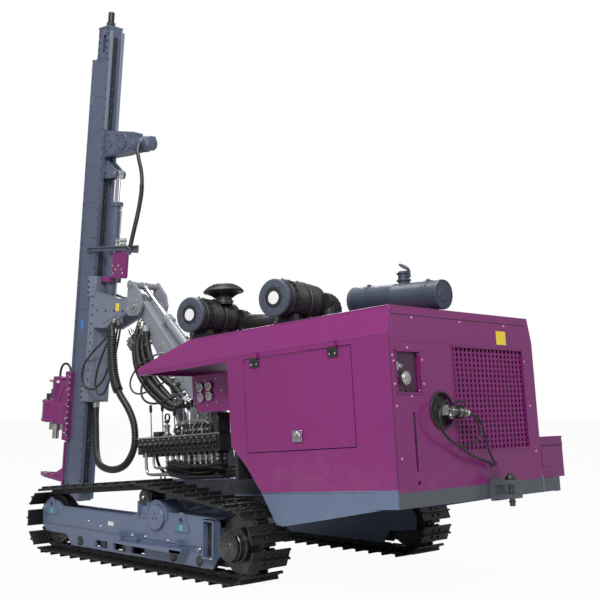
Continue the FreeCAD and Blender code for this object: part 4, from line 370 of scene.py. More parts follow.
def rubber(name, colour=(0.012, 0.012, 0.013), rough=0.42):
    """Dull black rubber with dust on top."""
    f = Finish(name)
    cloud = f.noise(14.0, 5.0)
    base = f.mix(cloud, tint(colour, 0.8), tint(colour, 1.5))
    base = f.mix(f.facing_up().spread(0.5, 1.0) * f.noise(20.0, 5.0).spread(0.5, 0.7) * 0.12, base, DUST)
    return f.finish(colour=base, rough=rough + (cloud - 0.5) * 0.25,
                    normal=f.bump(f.noise(260.0, 2.0), 0.08, 0.001))


def moulded(name, colour, rough=0.45):
    """Moulded plastic with a faint grain; its corners carry a painted highlight."""
    f = Finish(name)
    cloud = f.noise(5.0, 4.0)
    corners, rounded = f.edges(0.003)
    base = f.mix(cloud, tint(colour, 0.85), tint(colour, 1.15))
    # Painted highlight: every corner is made lighter, as if it caught the light.
    base = f.mix(corners * 0.35, base, tint(colour, 2.2))
    return f.finish(colour=base, rough=rough + (cloud - 0.5) * 0.15,
                    normal=f.bump(f.noise(500.0, 2.0), 0.06, 0.001, rounded))


def plain_label(name, colour):
    """A blank sticker or plate in one colour."""
    f = Finish(name)
    cloud = f.noise(30.0, 3.0)
    return f.finish(colour=f.mix(cloud, tint(colour, 0.92), tint(colour, 1.04)), rough=0.35 + cloud * 0.1)


# Making pieces, in millimetres

VIEWS = {"side": ((1, 0, 0), (0, 0, 1), (0, -1, 0)), "front": ((0, 1, 0), (0, 0, 1), (1, 0, 0)),
         "plan": ((1, 0, 0), (0, 1, 0), (0, 0, 1))}
AXIS = {"x": Vector((1, 0, 0)), "y": Vector((0, 1, 0)), "z": Vector((0, 0, 1)),
        "-x": Vector((-1, 0, 0)), "-y": Vector((0, -1, 0)), "-z": Vector((0, 0, -1))}
SIDES = (1, -1)
OUT = {1: "y", -1: "-y"}
SIDE_NAME = {1: "left", -1: "right"}
SHARP_CORNER = 38


def direction(axis):
    """A unit vector from an axis name or from any vector."""
    return AXIS[axis] if isinstance(axis, str) else Vector(axis).normalized()


def around(count, turn=0.0):
    """Angles spread evenly round a circle."""
    return [turn + 2 * math.pi * k / count for k in range(count)]


def depths(*places):
    """Places in y as the side view's depths, the low one first."""
    return sorted(-y for y in places)


def across(axis):
    """Two directions square to an axis and to each other."""
    helper = Vector((0, 0, 1)) if abs(axis.z) < 0.9 else Vector((1, 0, 0))
    first = axis.cross(helper).normalized()
    return first, axis.cross(first)


class Piece:
    """Faces gathered in one of the machine's frames, then made into an object."""

    def __init__(self, place=GROUND):
        self.mesh = bmesh.new()
        self.place = place

    def corner(self, spot):
        """A mesh corner from millimetres in the frame."""
        return self.mesh.verts.new(self.place @ (Vector(spot) * 0.001))

    def face(self, corners):
        """A face, unless two of its corners are the same."""
        if len(set(corners)) == len(corners):
            self.mesh.faces.new(corners)

    def slab(self, *spans):
        """A block from its bounds in x, y and z, each pair in any order."""
        return self.block(tuple(min(pair) for pair in spans), tuple(max(pair) for pair in spans))

    def block(self, low, high):
        """A block from its low and high corners."""
        return self.prism([(low[0], low[1]), (high[0], low[1]), (high[0], high[1]), (low[0], high[1])],
                          "plan", low[2], high[2])

    def prism(self, outline, view, start, end, taper=0.0):
        """An outline carried from start to end along the view's axis; taper draws the end in."""
        right, up, out = (Vector(v) for v in VIEWS[view])
        middle = sum((Vector(p) for p in outline), Vector((0, 0))) / len(outline)
        near = [self.corner(right * u + up * v + out * start) for u, v in outline]
        far = []
        for spot in outline:
            u, v = middle + (Vector(spot) - middle) * (1 - taper)
            far.append(self.corner(right * u + up * v + out * end))
        count = len(outline)
        for i in range(count):
            j = (i + 1) % count
            self.face([near[i], near[j], far[j], far[i]])
        self.face(near[::-1])
        self.face(far)
        return self

    def loops(self, rings, caps=True):
        """Joins rings of points, one after another."""
        made = [[self.corner(spot) for spot in ring] for ring in rings]
        for one, two in zip(made, made[1:]):
            count = len(one)
            for i in range(count):
                j = (i + 1) % count
                self.face([one[i], one[j], two[j], two[i]])
        if caps:
            self.face(made[0][::-1])
            self.face(made[-1])
        return self

    def turned(self, profile, centre, axis, steps=32, turn=0.0, caps=True):
        """A turned form: the profile is (distance along the axis, radius) pairs."""
        axis, centre = direction(axis), Vector(centre)
        one, two = across(axis)
        rings = []
        for distance, radius in profile:
            rings.append([centre + axis * distance
                          + (one * math.cos(a) + two * math.sin(a)) * max(radius, 0.01)
                          for a in around(steps, turn)])
        return self.loops(rings, caps=caps)

    def ring(self, inner, outer, depth, centre, axis, steps=32):
        """A flat ring with a bore."""
        profile = [(0, inner), (0, outer), (depth, outer), (depth, inner), (0, inner)]
        return self.turned(profile, centre, axis, steps, caps=False)

    def tube(self, points, radius, steps=10, radii=None):
        """A round tube along points; the ring's turn is carried from point to point."""
        spots = [Vector(p) for p in points]
        rings, side = [], None
        for index, spot in enumerate(spots):
            before, after = spots[max(index - 1, 0)], spots[min(index + 1, len(spots) - 1)]
            along = (after - before).normalized()
            if side is None:
                side = across(along)[0]
            side = (side - along * side.dot(along)).normalized()
            up = along.cross(side)
            size = radii[index] if radii else radius
            rings.append([spot + (side * math.cos(a) + up * math.sin(a)) * size for a in around(steps)])
        return self.loops(rings)

    def holed(self, outline, centre, radius, view, start, end, steps=32):
        """A plate with a round hole; every corner of the outline is seen from the hole's centre."""
        right, up, out = (Vector(v) for v in VIEWS[view])
        corners = [Vector(p) - Vector(centre) for p in outline]
        angles = sorted({round(math.atan2(c.y, c.x) % (2 * math.pi), 5) for c in corners}
                        | {round(2 * math.pi * k / steps, 5) for k in range(steps)})
        inner, outer = [], []
        for angle in angles:
            ray = Vector((math.cos(angle), math.sin(angle)))
            reach = radius
            for one, two in zip(corners, corners[1:] + corners[:1]):
                edge = two - one
                cross = ray.x * edge.y - ray.y * edge.x
                if abs(cross) < 1e-9:
                    continue
                far = (one.x * edge.y - one.y * edge.x) / cross
                share = (one.x * ray.y - one.y * ray.x) / cross
                if far > 0 and -1e-6 <= share <= 1 + 1e-6:
                    reach = max(reach, far)
            inner.append(Vector(centre) + ray * radius)
            outer.append(Vector(centre) + ray * reach)
        rings = [[right * u + up * v + out * at for u, v in line]
                 for line, at in ((inner, start), (outer, start), (outer, end), (inner, end), (inner, start))]
        return self.loops(rings, caps=False)

    def bolt(self, centre, axis, size=9.0, height=7.0, washer=True):
        """A hexagon head on a washer; size is half the width across corners."""
        centre, way = Vector(centre), direction(axis)
        if washer:
            self.turned([(0, size * 1.35), (1.6, size * 1.35)], centre, way, 14)
        self.turned([(1.6, size), (height * 0.8, size), (height, size * 0.82)], centre, way, 6)
        return self

    def bolts(self, centres, axis, size=9.0, height=7.0):
        for centre in centres:
            self.bolt(centre, axis, size, height)
        return self

    def bolt_circle(self, centre, axis, radius, count, size=9.0, height=7.0, turn=0.0):
        """Bolt heads spread evenly round a centre."""
        way = direction(axis)
        one, two = across(way)
        for a in around(count, turn):
            self.bolt(Vector(centre) + (one * math.cos(a) + two * math.sin(a)) * radius, way, size, height,
                      washer=False)
        return self

    def done(self, name, material, body, slot, edge=1.2, smooth=32.0, segments=1):
        """Closes the piece: normals outward, soft edges, its finish and body. The slot is not used."""
        bmesh.ops.remove_doubles(self.mesh, verts=self.mesh.verts, dist=1e-6)
        bmesh.ops.recalc_face_normals(self.mesh, faces=self.mesh.faces)
        mesh = bpy.data.meshes.new(name)
        self.mesh.to_mesh(mesh)
        self.mesh.free()
        mesh.shade_smooth()
        mesh.set_sharp_from_angle(angle=math.radians(smooth))
        mesh.materials.append(material)
        made = add_object(name, mesh)
        if edge:
            soft = made.modifiers.new("soft_edges", "BEVEL")
            soft.width, soft.segments = edge * 0.001, segments
            soft.limit_method, soft.angle_limit = "ANGLE", math.radians(SHARP_CORNER)
        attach(made, body)
        return made


def arc(centre, radius, start, end, steps):
    """Points of an arc in a flat outline; angles in degrees."""
    turns = [math.radians(start + (end - start) * k / steps) for k in range(steps + 1)]
    return [(centre[0] + radius * math.cos(a), centre[1] + radius * math.sin(a)) for a in turns]


def smooth_line(points, between=6):
    """A soft curve through points (Catmull-Rom)."""
    spots = [Vector(p) for p in points]
    spots = [spots[0] * 2 - spots[1], *spots, spots[-1] * 2 - spots[-2]]
    line = []
    for a, b, c, e in zip(spots, spots[1:], spots[2:], spots[3:]):
        for k in range(between):
            t = k / between
            line.append(0.5 * ((2 * b) + (c - a) * t + (2 * a - 5 * b + 4 * c - e) * t ** 2
                               + (3 * b - a - 3 * c + e) * t ** 3))
    line.append(spots[-2])
    return line


PURPLE = (0.195, 0.014, 0.140)
purple_paint = painted("purple_paint", PURPLE)
frame_paint = painted("track_frame_paint", (0.103, 0.142, 0.238), rough=0.36, dust=0.35)
mast_paint = painted("mast_paint", (0.080, 0.100, 0.158), rough=0.32, dust=0.2, worn=0.6)
BOOM_GREY = (0.225, 0.240, 0.275)
boom_paint = painted("boom_paint", BOOM_GREY, rough=0.34, dust=0.25)
beam_paint = painted("rear_beam_paint", (0.072, 0.085, 0.100), rough=0.40)
black_paint = painted("black_paint", (0.012, 0.012, 0.014), rough=0.35, dust=0.35, worn=0.4)
silencer_paint = painted("silencer_paint", (0.038, 0.052, 0.078), rough=0.45, coat=0.1)
chrome = bare_metal("chrome_rod", (0.80, 0.80, 0.82), 0.12, dark=0.9)
steel = bare_metal("zinc_steel", (0.60, 0.59, 0.57), 0.30)
dark_steel = bare_metal("dark_steel", (0.13, 0.13, 0.14), 0.42)
track_steel = track_metal("track_steel")
hose_rubber = rubber("hose_rubber")
filter_plastic = moulded("filter_plastic", (0.016, 0.017, 0.018))
cap_plastic = moulded("filter_cap_plastic", (0.056, 0.066, 0.096))
grip_plastic = moulded("grip_plastic", (0.010, 0.010, 0.011), 0.35)
white_label = plain_label("white_label", (0.75, 0.75, 0.77))
yellow_label = plain_label("yellow_label", (0.85, 0.66, 0.04))
teal_label = plain_label("teal_label", (0.05, 0.50, 0.42))
blue_label = plain_label("blue_label", (0.04, 0.22, 0.62))
dull_steel = bare_metal("dull_steel", (0.20, 0.195, 0.19), 0.42)
# Painted shade: a darker purple that stands in for the shade inside the filler recess.
recess_shade_paint = painted("recess_shade_paint", (0.050, 0.006, 0.038), rough=0.45)
guard_plastic = moulded("guard_plastic", (0.011, 0.011, 0.012), 0.38)
cradle_paint = painted("cradle_paint", (0.165, 0.190, 0.255), rough=0.34, dust=0.2, worn=0.5)
dark_bolts = bare_metal("dark_bolts", (0.10, 0.105, 0.12), 0.45)
gauge_white = plain_label("gauge_face_white", (0.30, 0.32, 0.28))
# Painted highlight: a light pink for the rear panel's bolt heads, standing in for the glints on their purple
# paint.
bolt_highlight_paint = painted("bolt_head_highlight_paint", (0.55, 0.20, 0.42), rough=0.34, dust=0.1, worn=0.8, edge=0.001)
rubber_trim = rubber("rubber_trim", (0.015, 0.015, 0.016), 0.5)
for cord in cords:
    cord.data.materials.append(hose_rubber)


# Tracks

TRACK_MIDDLE = 1035
FRAME_HALF = 88
IDLER_HALF = 45
SHOE_PITCH = 154
SPROCKET_TEETH = 9
SPROCKET, IDLER, TOP_ROLLER = (-1257.5, 304.0), (1257.5, 304.0), (-110.0, 592.0)
BELT_RADIUS = 220.0
WHEELS = [(SPROCKET, BELT_RADIUS), (IDLER, BELT_RADIUS), (TOP_ROLLER, 60.0)]
AXLE_DISC = (-280, 442)
ROLLER_HEIGHT = 146
SHOE = [(-72, 46), (66, 46), (72, 52), (70, 60), (9, 60), (6, 84), (-6, 84), (-9, 60), (-56, 60), (-63, 70),
        (-71, 69), (-75, 56)]
LINK = [(-58, 1), (58, 1), (72, 10), (76, 24), (72, 38), (58, 45), (-58, 45), (-72, 38), (-76, 24), (-72, 10)]


def belt_stretches():
    """The chain's way round its wheels, as (length, start or centre, outward angle, radius)."""
    normals = []
    for (one, near), (two, far) in zip(WHEELS, WHEELS[1:] + WHEELS[:1]):
        x, z = two[0] - one[0], two[1] - one[1]
        normals.append(math.atan2(z, x) - math.acos((near - far) / math.hypot(x, z)))
    stretches = []
    for n, (centre, radius) in enumerate(WHEELS):
        arrive, leave = normals[n - 1], normals[n]
        stretches.append(((leave - arrive) % (2 * math.pi) * radius, centre, arrive, radius))
        following, other = WHEELS[(n + 1) % len(WHEELS)]
        run = math.dist(centre, following)
        start = (centre[0] + radius * math.cos(leave), centre[1] + radius * math.sin(leave))
        stretches.append((math.sqrt(run ** 2 - (radius - other) ** 2), start, leave, 0.0))
    return stretches


STRETCHES = belt_stretches()
AROUND = sum(stretch[0] for stretch in STRETCHES)
SHOES = int(AROUND // SHOE_PITCH)


def on_belt(distance, middle):
    """A frame on the chain's tread: X along the belt and Z outward."""
    for length, anchor, normal, radius in STRETCHES:
        if distance <= length:
            break
        distance -= length
    angle = normal + distance / radius if radius else normal
    x = anchor[0] + radius * math.cos(angle) if radius else anchor[0] - distance * math.sin(angle)
    z = anchor[1] + radius * math.sin(angle) if radius else anchor[1] + distance * math.cos(angle)
    turn = Matrix(((-math.sin(angle), 0, math.cos(angle)), (0, -1, 0), (math.cos(angle), 0, math.sin(angle))))
    return GROUND @ Matrix.Translation((x * 0.001, middle * 0.001, z * 0.001)) @ turn.to_4x4()


def make_track(name, middle):
    """One chain: a shoe, its links and its nuts at every pitch."""
    shoes, links, nuts = Piece(), Piece(), Piece()
    for n in range(SHOES):
        place = on_belt((n + 0.5) * AROUND / SHOES, middle)
        shoes.place = links.place = nuts.place = place
        shoes.prism(SHOE, "side", -200, 200)
        for start in (-56, 30):
            links.prism(LINK, "side", start, start + 26)
        links.turned([(0, 15), (120, 15)], (77, 60, 24), "-y", 12)
        for x in (-32, 32):
            for y in (-43, 43):
                nuts.turned([(60, 15), (71, 14), (73, 11)], (x, y, 0), "z", 6)
        nuts.turned([(-1, 9), (5, 9)], (77, 65, 24), "-y", 8)
    made = shoes.done(name + "_shoes", track_steel, "carrier", "track", 1.5)
    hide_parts(name)
    links.done(name + "_links", track_steel, "carrier", "track", 1.5)
    nuts.done(name + "_shoe_bolts", track_steel, "carrier", "track", 0)


def make_wheels(side):
    """Sprocket teeth, hub cover and roller caps of one track."""
    tag = SIDE_NAME[side]
    middle, out = side * TRACK_MIDDLE, OUT[side]
    face = side * (TRACK_MIDDLE + FRAME_HALF)
    idler_face = side * (TRACK_MIDDLE + IDLER_HALF)
    first = next(n for n in range(SHOES) if (n + 0.5) * AROUND / SHOES < STRETCHES[0][0])
    start = STRETCHES[0][2] + (first + 0.5) * AROUND / SHOES / BELT_RADIUS
    outline = []
    for n in range(SPROCKET_TEETH):
        for reach, spread in ((205, -0.24), (216, -0.17), (246, -0.06), (246, 0.06),
                              (216, 0.17), (205, 0.24)):
            angle = start + n * 2 * math.pi / SPROCKET_TEETH + spread
            outline.append((SPROCKET[0] + reach * math.cos(angle), SPROCKET[1] + reach * math.sin(angle)))
    Piece().prism(outline, "side", -middle - 24, -middle + 24).done(
        f"sprocket_teeth_{tag}", track_steel, "carrier", "black", 2)
    hub = Piece().turned([(0, 132), (18, 132), (22, 124), (22, 116), (66, 116),
                          (72, 110), (96, 110), (99, 104),
                          (99, 44), (103, 40), (103, 16), (99, 12), (99, 1)],
                          (SPROCKET[0], face, SPROCKET[1]), out, 48)
    hub.bolt_circle((SPROCKET[0], face + side * 99, SPROCKET[1]), out, 82, 10, 7, 4)
    hub.bolt_circle((SPROCKET[0], face + side * 22, SPROCKET[1]), out, 124, 16, 6, 5)
    hub.done(f"drive_hub_cover_{tag}", black_paint, "carrier", "black", 1.2)
    caps = Piece()
    caps.turned([(0, 66), (12, 66), (16, 60), (16, 34), (12, 32), (12, 22), (22, 20), (24, 14), (24, 1)],
                (TOP_ROLLER[0], face, TOP_ROLLER[1]), out, 36)
    caps.turned([(0, 60), (6, 60), (10, 40), (10, 1)], (IDLER[0], idler_face, IDLER[1]), out, 36)
    caps.turned([(0, 190), (5, 186), (5, 150), (0, 140)], (IDLER[0], idler_face, IDLER[1]), out, 48,
                caps=False)
    for n in range(6):
        x = (n - 2.5) * 330
        if n < 2 or n > 4:
            caps.turned([(0, 40), (8, 40), (12, 32), (12, 1)], (x, face, ROLLER_HEIGHT), out, 24)
        for inner in (-56, 46):
            caps.turned([(0, 78), (10, 78)], (x, middle + inner, ROLLER_HEIGHT), "y", 28)
    caps.done(f"roller_caps_{tag}", black_paint, "carrier", "black", 1.2)
    pins = Piece().bolt((TOP_ROLLER[0], face + side * 24, TOP_ROLLER[1]), out, 13, 9)
    pins.bolt_circle((TOP_ROLLER[0], face + side * 12, TOP_ROLLER[1]), out, 27, 4, 4, 4)
    pins.done(f"roller_bolts_{tag}", steel, "carrier", "silver", 0.5)


def make_frame_details(side):
    """Hump, disc, ears, end box, step, edge strips and small fastenings on one track frame."""
    tag = SIDE_NAME[side]
    out = OUT[side]
    face = side * (TRACK_MIDDLE + FRAME_HALF)

    def span(near, far):
        return sorted((-face - side * near, -face - side * far))

    plates = Piece()
    hump = arc(AXLE_DISC, 140, -8, 188, 22)
    plates.prism(hump, "side", *span(-170, 8))
    ears = ((1287, 438), (-600, 438))
    for x, z in ears:
        outline = [(x - 92, z - 88), (x + 92, z - 88), (x + 88, z - 60),
                   *arc((x, z + 22), 46, 10, 170, 10), (x - 88, z - 60)]
        plates.holed(outline, (x, z), 22, "side", *span(0, 12))
        plates.ring(22, 33, 6, (x, face + side * 12, z), out, 28)
    for x1, z1, x2, z2, reach in ((-1036, 176, -904, 190, 50), (-1036, 462, -904, 476, 50),
                                  (-1036, 188, -1024, 464, 44), (-916, 188, -904, 464, 44)):
        plates.prism([(x1, z1), (x2, z1), (x2, z2), (x1, z2)], "side", *span(-4, reach))
    strips = [((1120, 431), (60, 431)), ((1420, 262), (-870, 250)), ((1420, 352), (1200, 352))]
    for (x1, z1), (x2, z2) in strips:
        plates.tube([(x1, face + side * 2, z1), (x2, face + side * 2, z2)], 5, 8)
    plates.tube([(x, face + side * 9, z) for x, z in arc(AXLE_DISC, 139, 0, 180, 24)], 3.5, 8)
    step = ((-704, 100, 236, 236), (-560, 100, 228, 234), (205, 72, 206, 212))
    plates.loops([[(x, y, z) for y, z in ((face, 190), (face + side * wide, 190), (face + side * wide, tip),
                                          (face, root))] for x, wide, tip, root in step])
    for x in (-620, -60, 160):
        plates.prism([(x, 236), (x + 12, 236), (x + 12, 292), (x, 256)], "side", *span(0, 60))
    plates.slab((-175, -72), (face - side * 168, face + side * 16), (428, 452))
    plates.slab((-50, -36), (face - side * 4, face + side * 22), (428, 560))
    plates.slab((-184, -170), (face - side * 4, face + side * 22), (428, 560))
    plates.done(f"track_frame_plates_{tag}", frame_paint, "carrier", "bluegrey", 2, segments=2)
    disc_x, disc_z = AXLE_DISC
    disc = Piece().turned([(6, 104), (26, 104), (31, 99), (31, 60), (29, 58), (29, 1)],
                          (disc_x, face, disc_z),
                          out, 48)
    disc.done(f"axle_disc_{tag}", frame_paint, "carrier", "bluegrey", 1.5, segments=2)
    # Painted shade: black discs in the axle disc's holes and a black plate in the end box, for the shade
    # inside them.
    holes = Piece()
    for n in range(3):
        angle = math.radians(90 + 120 * n)
        holes.turned([(28, 9), (29.6, 9), (29.6, 1)],
                     (disc_x + 28 * math.cos(angle), face, disc_z + 28 * math.sin(angle)), out, 14)
    holes.turned([(28, 6), (30, 6)], (disc_x, face, disc_z), out, 12)
    holes.slab((-1022, -918), (face - side * 2, face + side * 1.5), (192, 460))
    holes.done(f"painted_recess_shade_{tag}", black_paint, "carrier", "black", 0)
    studs = Piece()
    studs.bolts([(700, face, 330), (520, face, 300), (-120, face, 268), (-420, face, 262), (60, face, 262)],
                out, 10, 8)
    studs.bolts([(x, face + side * 50, 183) for x in (-1010, -930)], out, 6, 6)
    studs.turned([(0, 16), (22, 16), (26, 12), (36, 12), (36, 1)], (-840, face, 236), out, 12)
    studs.done(f"track_frame_bolts_{tag}", steel, "carrier", "silver", 0.5)
    labels = Piece()
    for x, z in ears:
        labels.slab((x - 17, x + 17), (face + side * 12, face + side * 13), (z - 80, z - 34))
    labels.done(f"tie_down_labels_{tag}", teal_label, "carrier", "silver", 0)
    plate = Piece().slab((330, 410), (face, face + side * 1.2), (318, 352))
    plate.done(f"frame_plate_{tag}", white_label, "carrier", "silver", 0)


for side in SIDES:
    make_track(f"track_{SIDE_NAME[side]}", side * TRACK_MIDDLE)
for side in SIDES:
    make_wheels(side)
    make_frame_details(side)


# House: doors, rear, console

HOUSE_SIDES = ((1, 1065), (-1, -790))


def make_door_details(side, face):
    """Folded rim, hinges and paddle latch of one side door."""
    tag, out = SIDE_NAME[side], OUT[side]
    body = f"{tag}_door"
    rim = Piece(HOUSE)
    for x1, z1, x2, z2 in ((-2445, 938, -1340, 938), (-2445, 1641, -1340, 1641), (-2442, 938, -2442, 1641),
                           (-1343, 938, -1343, 1641)):
        rim.tube([(x1, face + side * 0.5, z1), (x2, face + side * 0.5, z2)], 3.2, 8)
    rim.done(f"{tag}_door_rim", purple_paint, body, "purple", 0)
    black = Piece(HOUSE)
    for ahead in (-1468, -2279):
        black.slab((ahead - 46, ahead + 46), (face, face + side * 13), (1578, 1640))
        for x in (-46, -16, 14):
            black.turned([(0, 12.5), (32, 12.5)], (ahead + x, face + side * 11, 1641), "x", 20)
    black.done(f"{tag}_door_hinges", black_paint, body, "black", 1.5)
    studs = Piece(HOUSE)
    studs.bolts([(ahead + x, face + side * 13, 1600) for ahead in (-1468,
                                                                   -2279) for x in (-28, 28)], out, 6, 5)
    studs.done(f"{tag}_hinge_screws", steel, body, "silver", 0.4)
    latch = Piece(HOUSE)
    x, z = -1892.5, 1035
    shell = [(x - 48, z - 42), (x + 48, z - 42), (x + 48, z + 42), (x - 48, z + 42)]
    latch.prism(shell, "side", *depths(face + side * 10, face + side * 16), taper=0.04)
    latch.ring(22, 30, 4, (x, face + side * 15, z), out, 28)
    latch.prism([(x - 34, z - 30), (x + 34, z - 30), (x + 26, z + 8), (x - 26, z + 8)], "side",
                *depths(face + side * 15, face + side * 21), taper=0.1)
    latch.turned([(0, 9), (8, 9), (8, 6), (5, 4), (5, 1)], (x, face + side * 15, z + 24), out, 18)
    latch.done(f"{tag}_paddle_latch", chrome, body, "silver", 1.5, segments=2)


for side, face in HOUSE_SIDES:
    make_door_details(side, face)

REAR_X = -2780
PANEL_FRONT = -1150
FILLER = (907, 1384)
PORT = (500, 1158)


def make_rear():
    """Folds, bolt heads with a painted highlight, gaps, filler with painted shade in its recess, and port on
    the cover and the rear panel.
    """
    folds = Piece(HOUSE)
    for side, face in HOUSE_SIDES:
        folds.tube([(-2776, face - side, 1692), (-655, face - side, 1692), (6, face - side * 2, 1676)], 4, 8)
        folds.tube([(-2776, face - side * 45, 1887), (-660, face - side * 45, 1887)], 5, 8)
    folds.tube([(REAR_X + 4, 1020, 1885), (REAR_X + 4, -745, 1885)], 6, 8)
    folds.loops([[(x, y, z) for y, z in ((1034, 1641), (996, 1824), (-722, 1824), (-764, 1641))]
                 for x in (REAR_X - 1.4, REAR_X + 2)])
    for left, low, right, high in ((-640, 858, -628, 1634), (322, 858, 334, 1634)):
        folds.block((REAR_X - 4, left, low), (REAR_X + 2, right, high))
    for low in (856, 1622):
        folds.block((REAR_X - 4, -640, low), (REAR_X + 2, 334, low + 12))
    for left, low, right, high in ((708, 1275, 720, 1580), (985, 1275, 997, 1580), (708, 1570, 997, 1582),
                                   (708, 1273, 997, 1285)):
        folds.block((REAR_X - 5, left, low), (REAR_X + 3, right, high))
    folds.block((REAR_X + 2, -1150, 930), (REAR_X + 6, -815, 934))
    folds.done("cover_folds", purple_paint, "carrier", "purple", 1.5, segments=2)
    heads = Piece(HOUSE)
    spots = [(781, 1812), (202, 1810), (-393, 1810), (-655, 1537), (-688, 1185), (-720, 829), (1005, 1193),
             (989, 837), (851, 1596), (1022, 1540), (1012, 1500), (1012, 1343), (688, 1515),
             (686, 1346), (832, 1258)]
    for y, z in spots:
        heads.turned([(0, 10.5), (2, 10.5), (3, 8), (6, 7.4), (7.5, 4), (7.5, 1)],
                     (REAR_X - (1.4 if z > 1641 else 0), y, z), "-x", 16)
    # The bolt heads take the light pink painted highlight.
    heads.done("panel_bolt_heads", bolt_highlight_paint, "carrier", "purple", 0.4)
    gaps = Piece(HOUSE)
    gaps.block((REAR_X - 1.8, -700, 1826), (REAR_X + 1, 1012, 1831))
    gaps.block((REAR_X - 1.2, 1040, 640), (REAR_X + 1, 1044, 1690))
    gaps.block((-2765.5, -1166, 862), (-2760, -806, 867))
    gaps.loops([[(x, y, z) for y, z in ((816, 1140), (828, 1140), (806, 748), (794, 748))]
                for x in (REAR_X + 1, REAR_X + 4)])
    gaps.block((PANEL_FRONT - 51, -758, 733), (PANEL_FRONT - 45, 1034, 1640))
    gaps.block((PANEL_FRONT - 51, 1034, 733), (PANEL_FRONT - 13, 1038, 964))
    gaps.done("panel_gaps", rubber_trim, "carrier", "black", 0)
    # Painted shade: the recess floor and the disc below the filler cap are darker purple for the shade in the
    # recess.
    floor = Piece(HOUSE)
    floor.block((REAR_X + 25, 730, 1300), (REAR_X + 29, 976, 1562))
    floor.turned([(0, 44), (3, 44)], (REAR_X + 26, 830, 1330), "-x", 28)
    floor.done("recess_floor_painted_shade", recess_shade_paint, "carrier", "purple", 0)
    port = Piece(HOUSE)
    port.turned([(-2, 122), (12, 126), (14, 132), (10, 138), (2, 138)], (REAR_X, *PORT), "-x", 48, caps=False)
    port.turned([(0, 120), (4, 120), (4, 60), (14, 54), (14, 36), (24, 33), (40, 33)], (REAR_X + 24, *PORT),
                "-x", 40)
    port.done("round_port_seal", rubber_trim, "carrier", "black", 1)
    cap = Piece(HOUSE)
    cap.turned([(0, 30), (20, 30), (22, 36), (34, 36)], (REAR_X + 30, *FILLER), "-x", 28)
    cap.done("filler_neck", rubber_trim, "carrier", "black", 0.8)
    silver = Piece(HOUSE)
    silver.turned([(30, 47), (52, 48), (55, 45), (55, 34), (60, 32), (60, 12), (56, 10), (56, 1)],
                  (REAR_X + 30, *FILLER), "-x", 40)
    silver.block((REAR_X - 34, 899, 1352), (REAR_X - 22, 915, 1416))
    silver.done("filler_cap_cover", steel, "carrier", "silver", 1, segments=2)
    plate = Piece(HOUSE).block((REAR_X - 2.8, -408, 1662), (REAR_X - 1.4, -276, 1768))
    plate.done("rear_plate_blank", yellow_label, "carrier", "silver", 0)
    screws = Piece(HOUSE)
    screws.bolts([(REAR_X + 12, y, z) for y in (722, 983) for z in (1300, 1555)], "-x", 7, 6)
    screws.block((REAR_X - 6, 964, 1440), (REAR_X + 10, 984, 1496))
    screws.turned([(0, 16), (14, 16), (16, 11), (24, 11)], (REAR_X + 12, 940, 1468), "-x", 18)
    screws.done("rear_small_parts", steel, "carrier", "silver", 0.5)


def make_coupling():
    """The ball-valve coupling that leans out of the port, with clamps, bolts and side branch."""
    port, end = Vector((-2800, 500, 1160)), Vector((-2862, 296, 1133))
    way = (end - port).normalized()
    body = Piece(HOUSE)
    body.turned([(-8, 30), (0, 36), (30, 37), (36, 30), (60, 29), (66, 36), (92, 36), (98, 29), (112, 29),
                 (116, 46), (132, 47), (136, 40), (150, 40), (154, 47), (172, 47), (176, 34), (196, 33),
                 (206, 20), (212, 20)], port, way, 32)
    body.turned([(0, 22), (34, 22), (36, 30), (54, 30), (56, 18), (64, 18)],
                port + way * 50, (-0.35, 0.2, -1), 24)
    body.turned([(0, 14), (26, 14), (28, 20), (40, 20)], port + way * 80, (-0.2, 0.1, 1), 20)
    for spot in (36, 98):
        body.bolt_circle(port + way * spot, way, 33, 6, 6, 8)
    body.done("coupling_body", dull_steel, "carrier", "silver", 1)
    dark = Piece(HOUSE)
    dark.turned([(0, 38), (14, 38)], port + way * 18, way, 8)
    dark.turned([(0, 50), (7, 50)], port + way * 141, way, 24)
    dark.tube(smooth_line([port + way * 80 + Vector((-8, 4, 40)), port + way * 92 + Vector((-22, 6, 66)),
                           port + way * 150 + Vector((-26, 10, 74)),
                           port + way * 178 + Vector((-22, 8, 70))]),
              9, 10)
    dark.done("coupling_grips", grip_plastic, "carrier", "black", 0.8)


make_rear()
make_coupling()


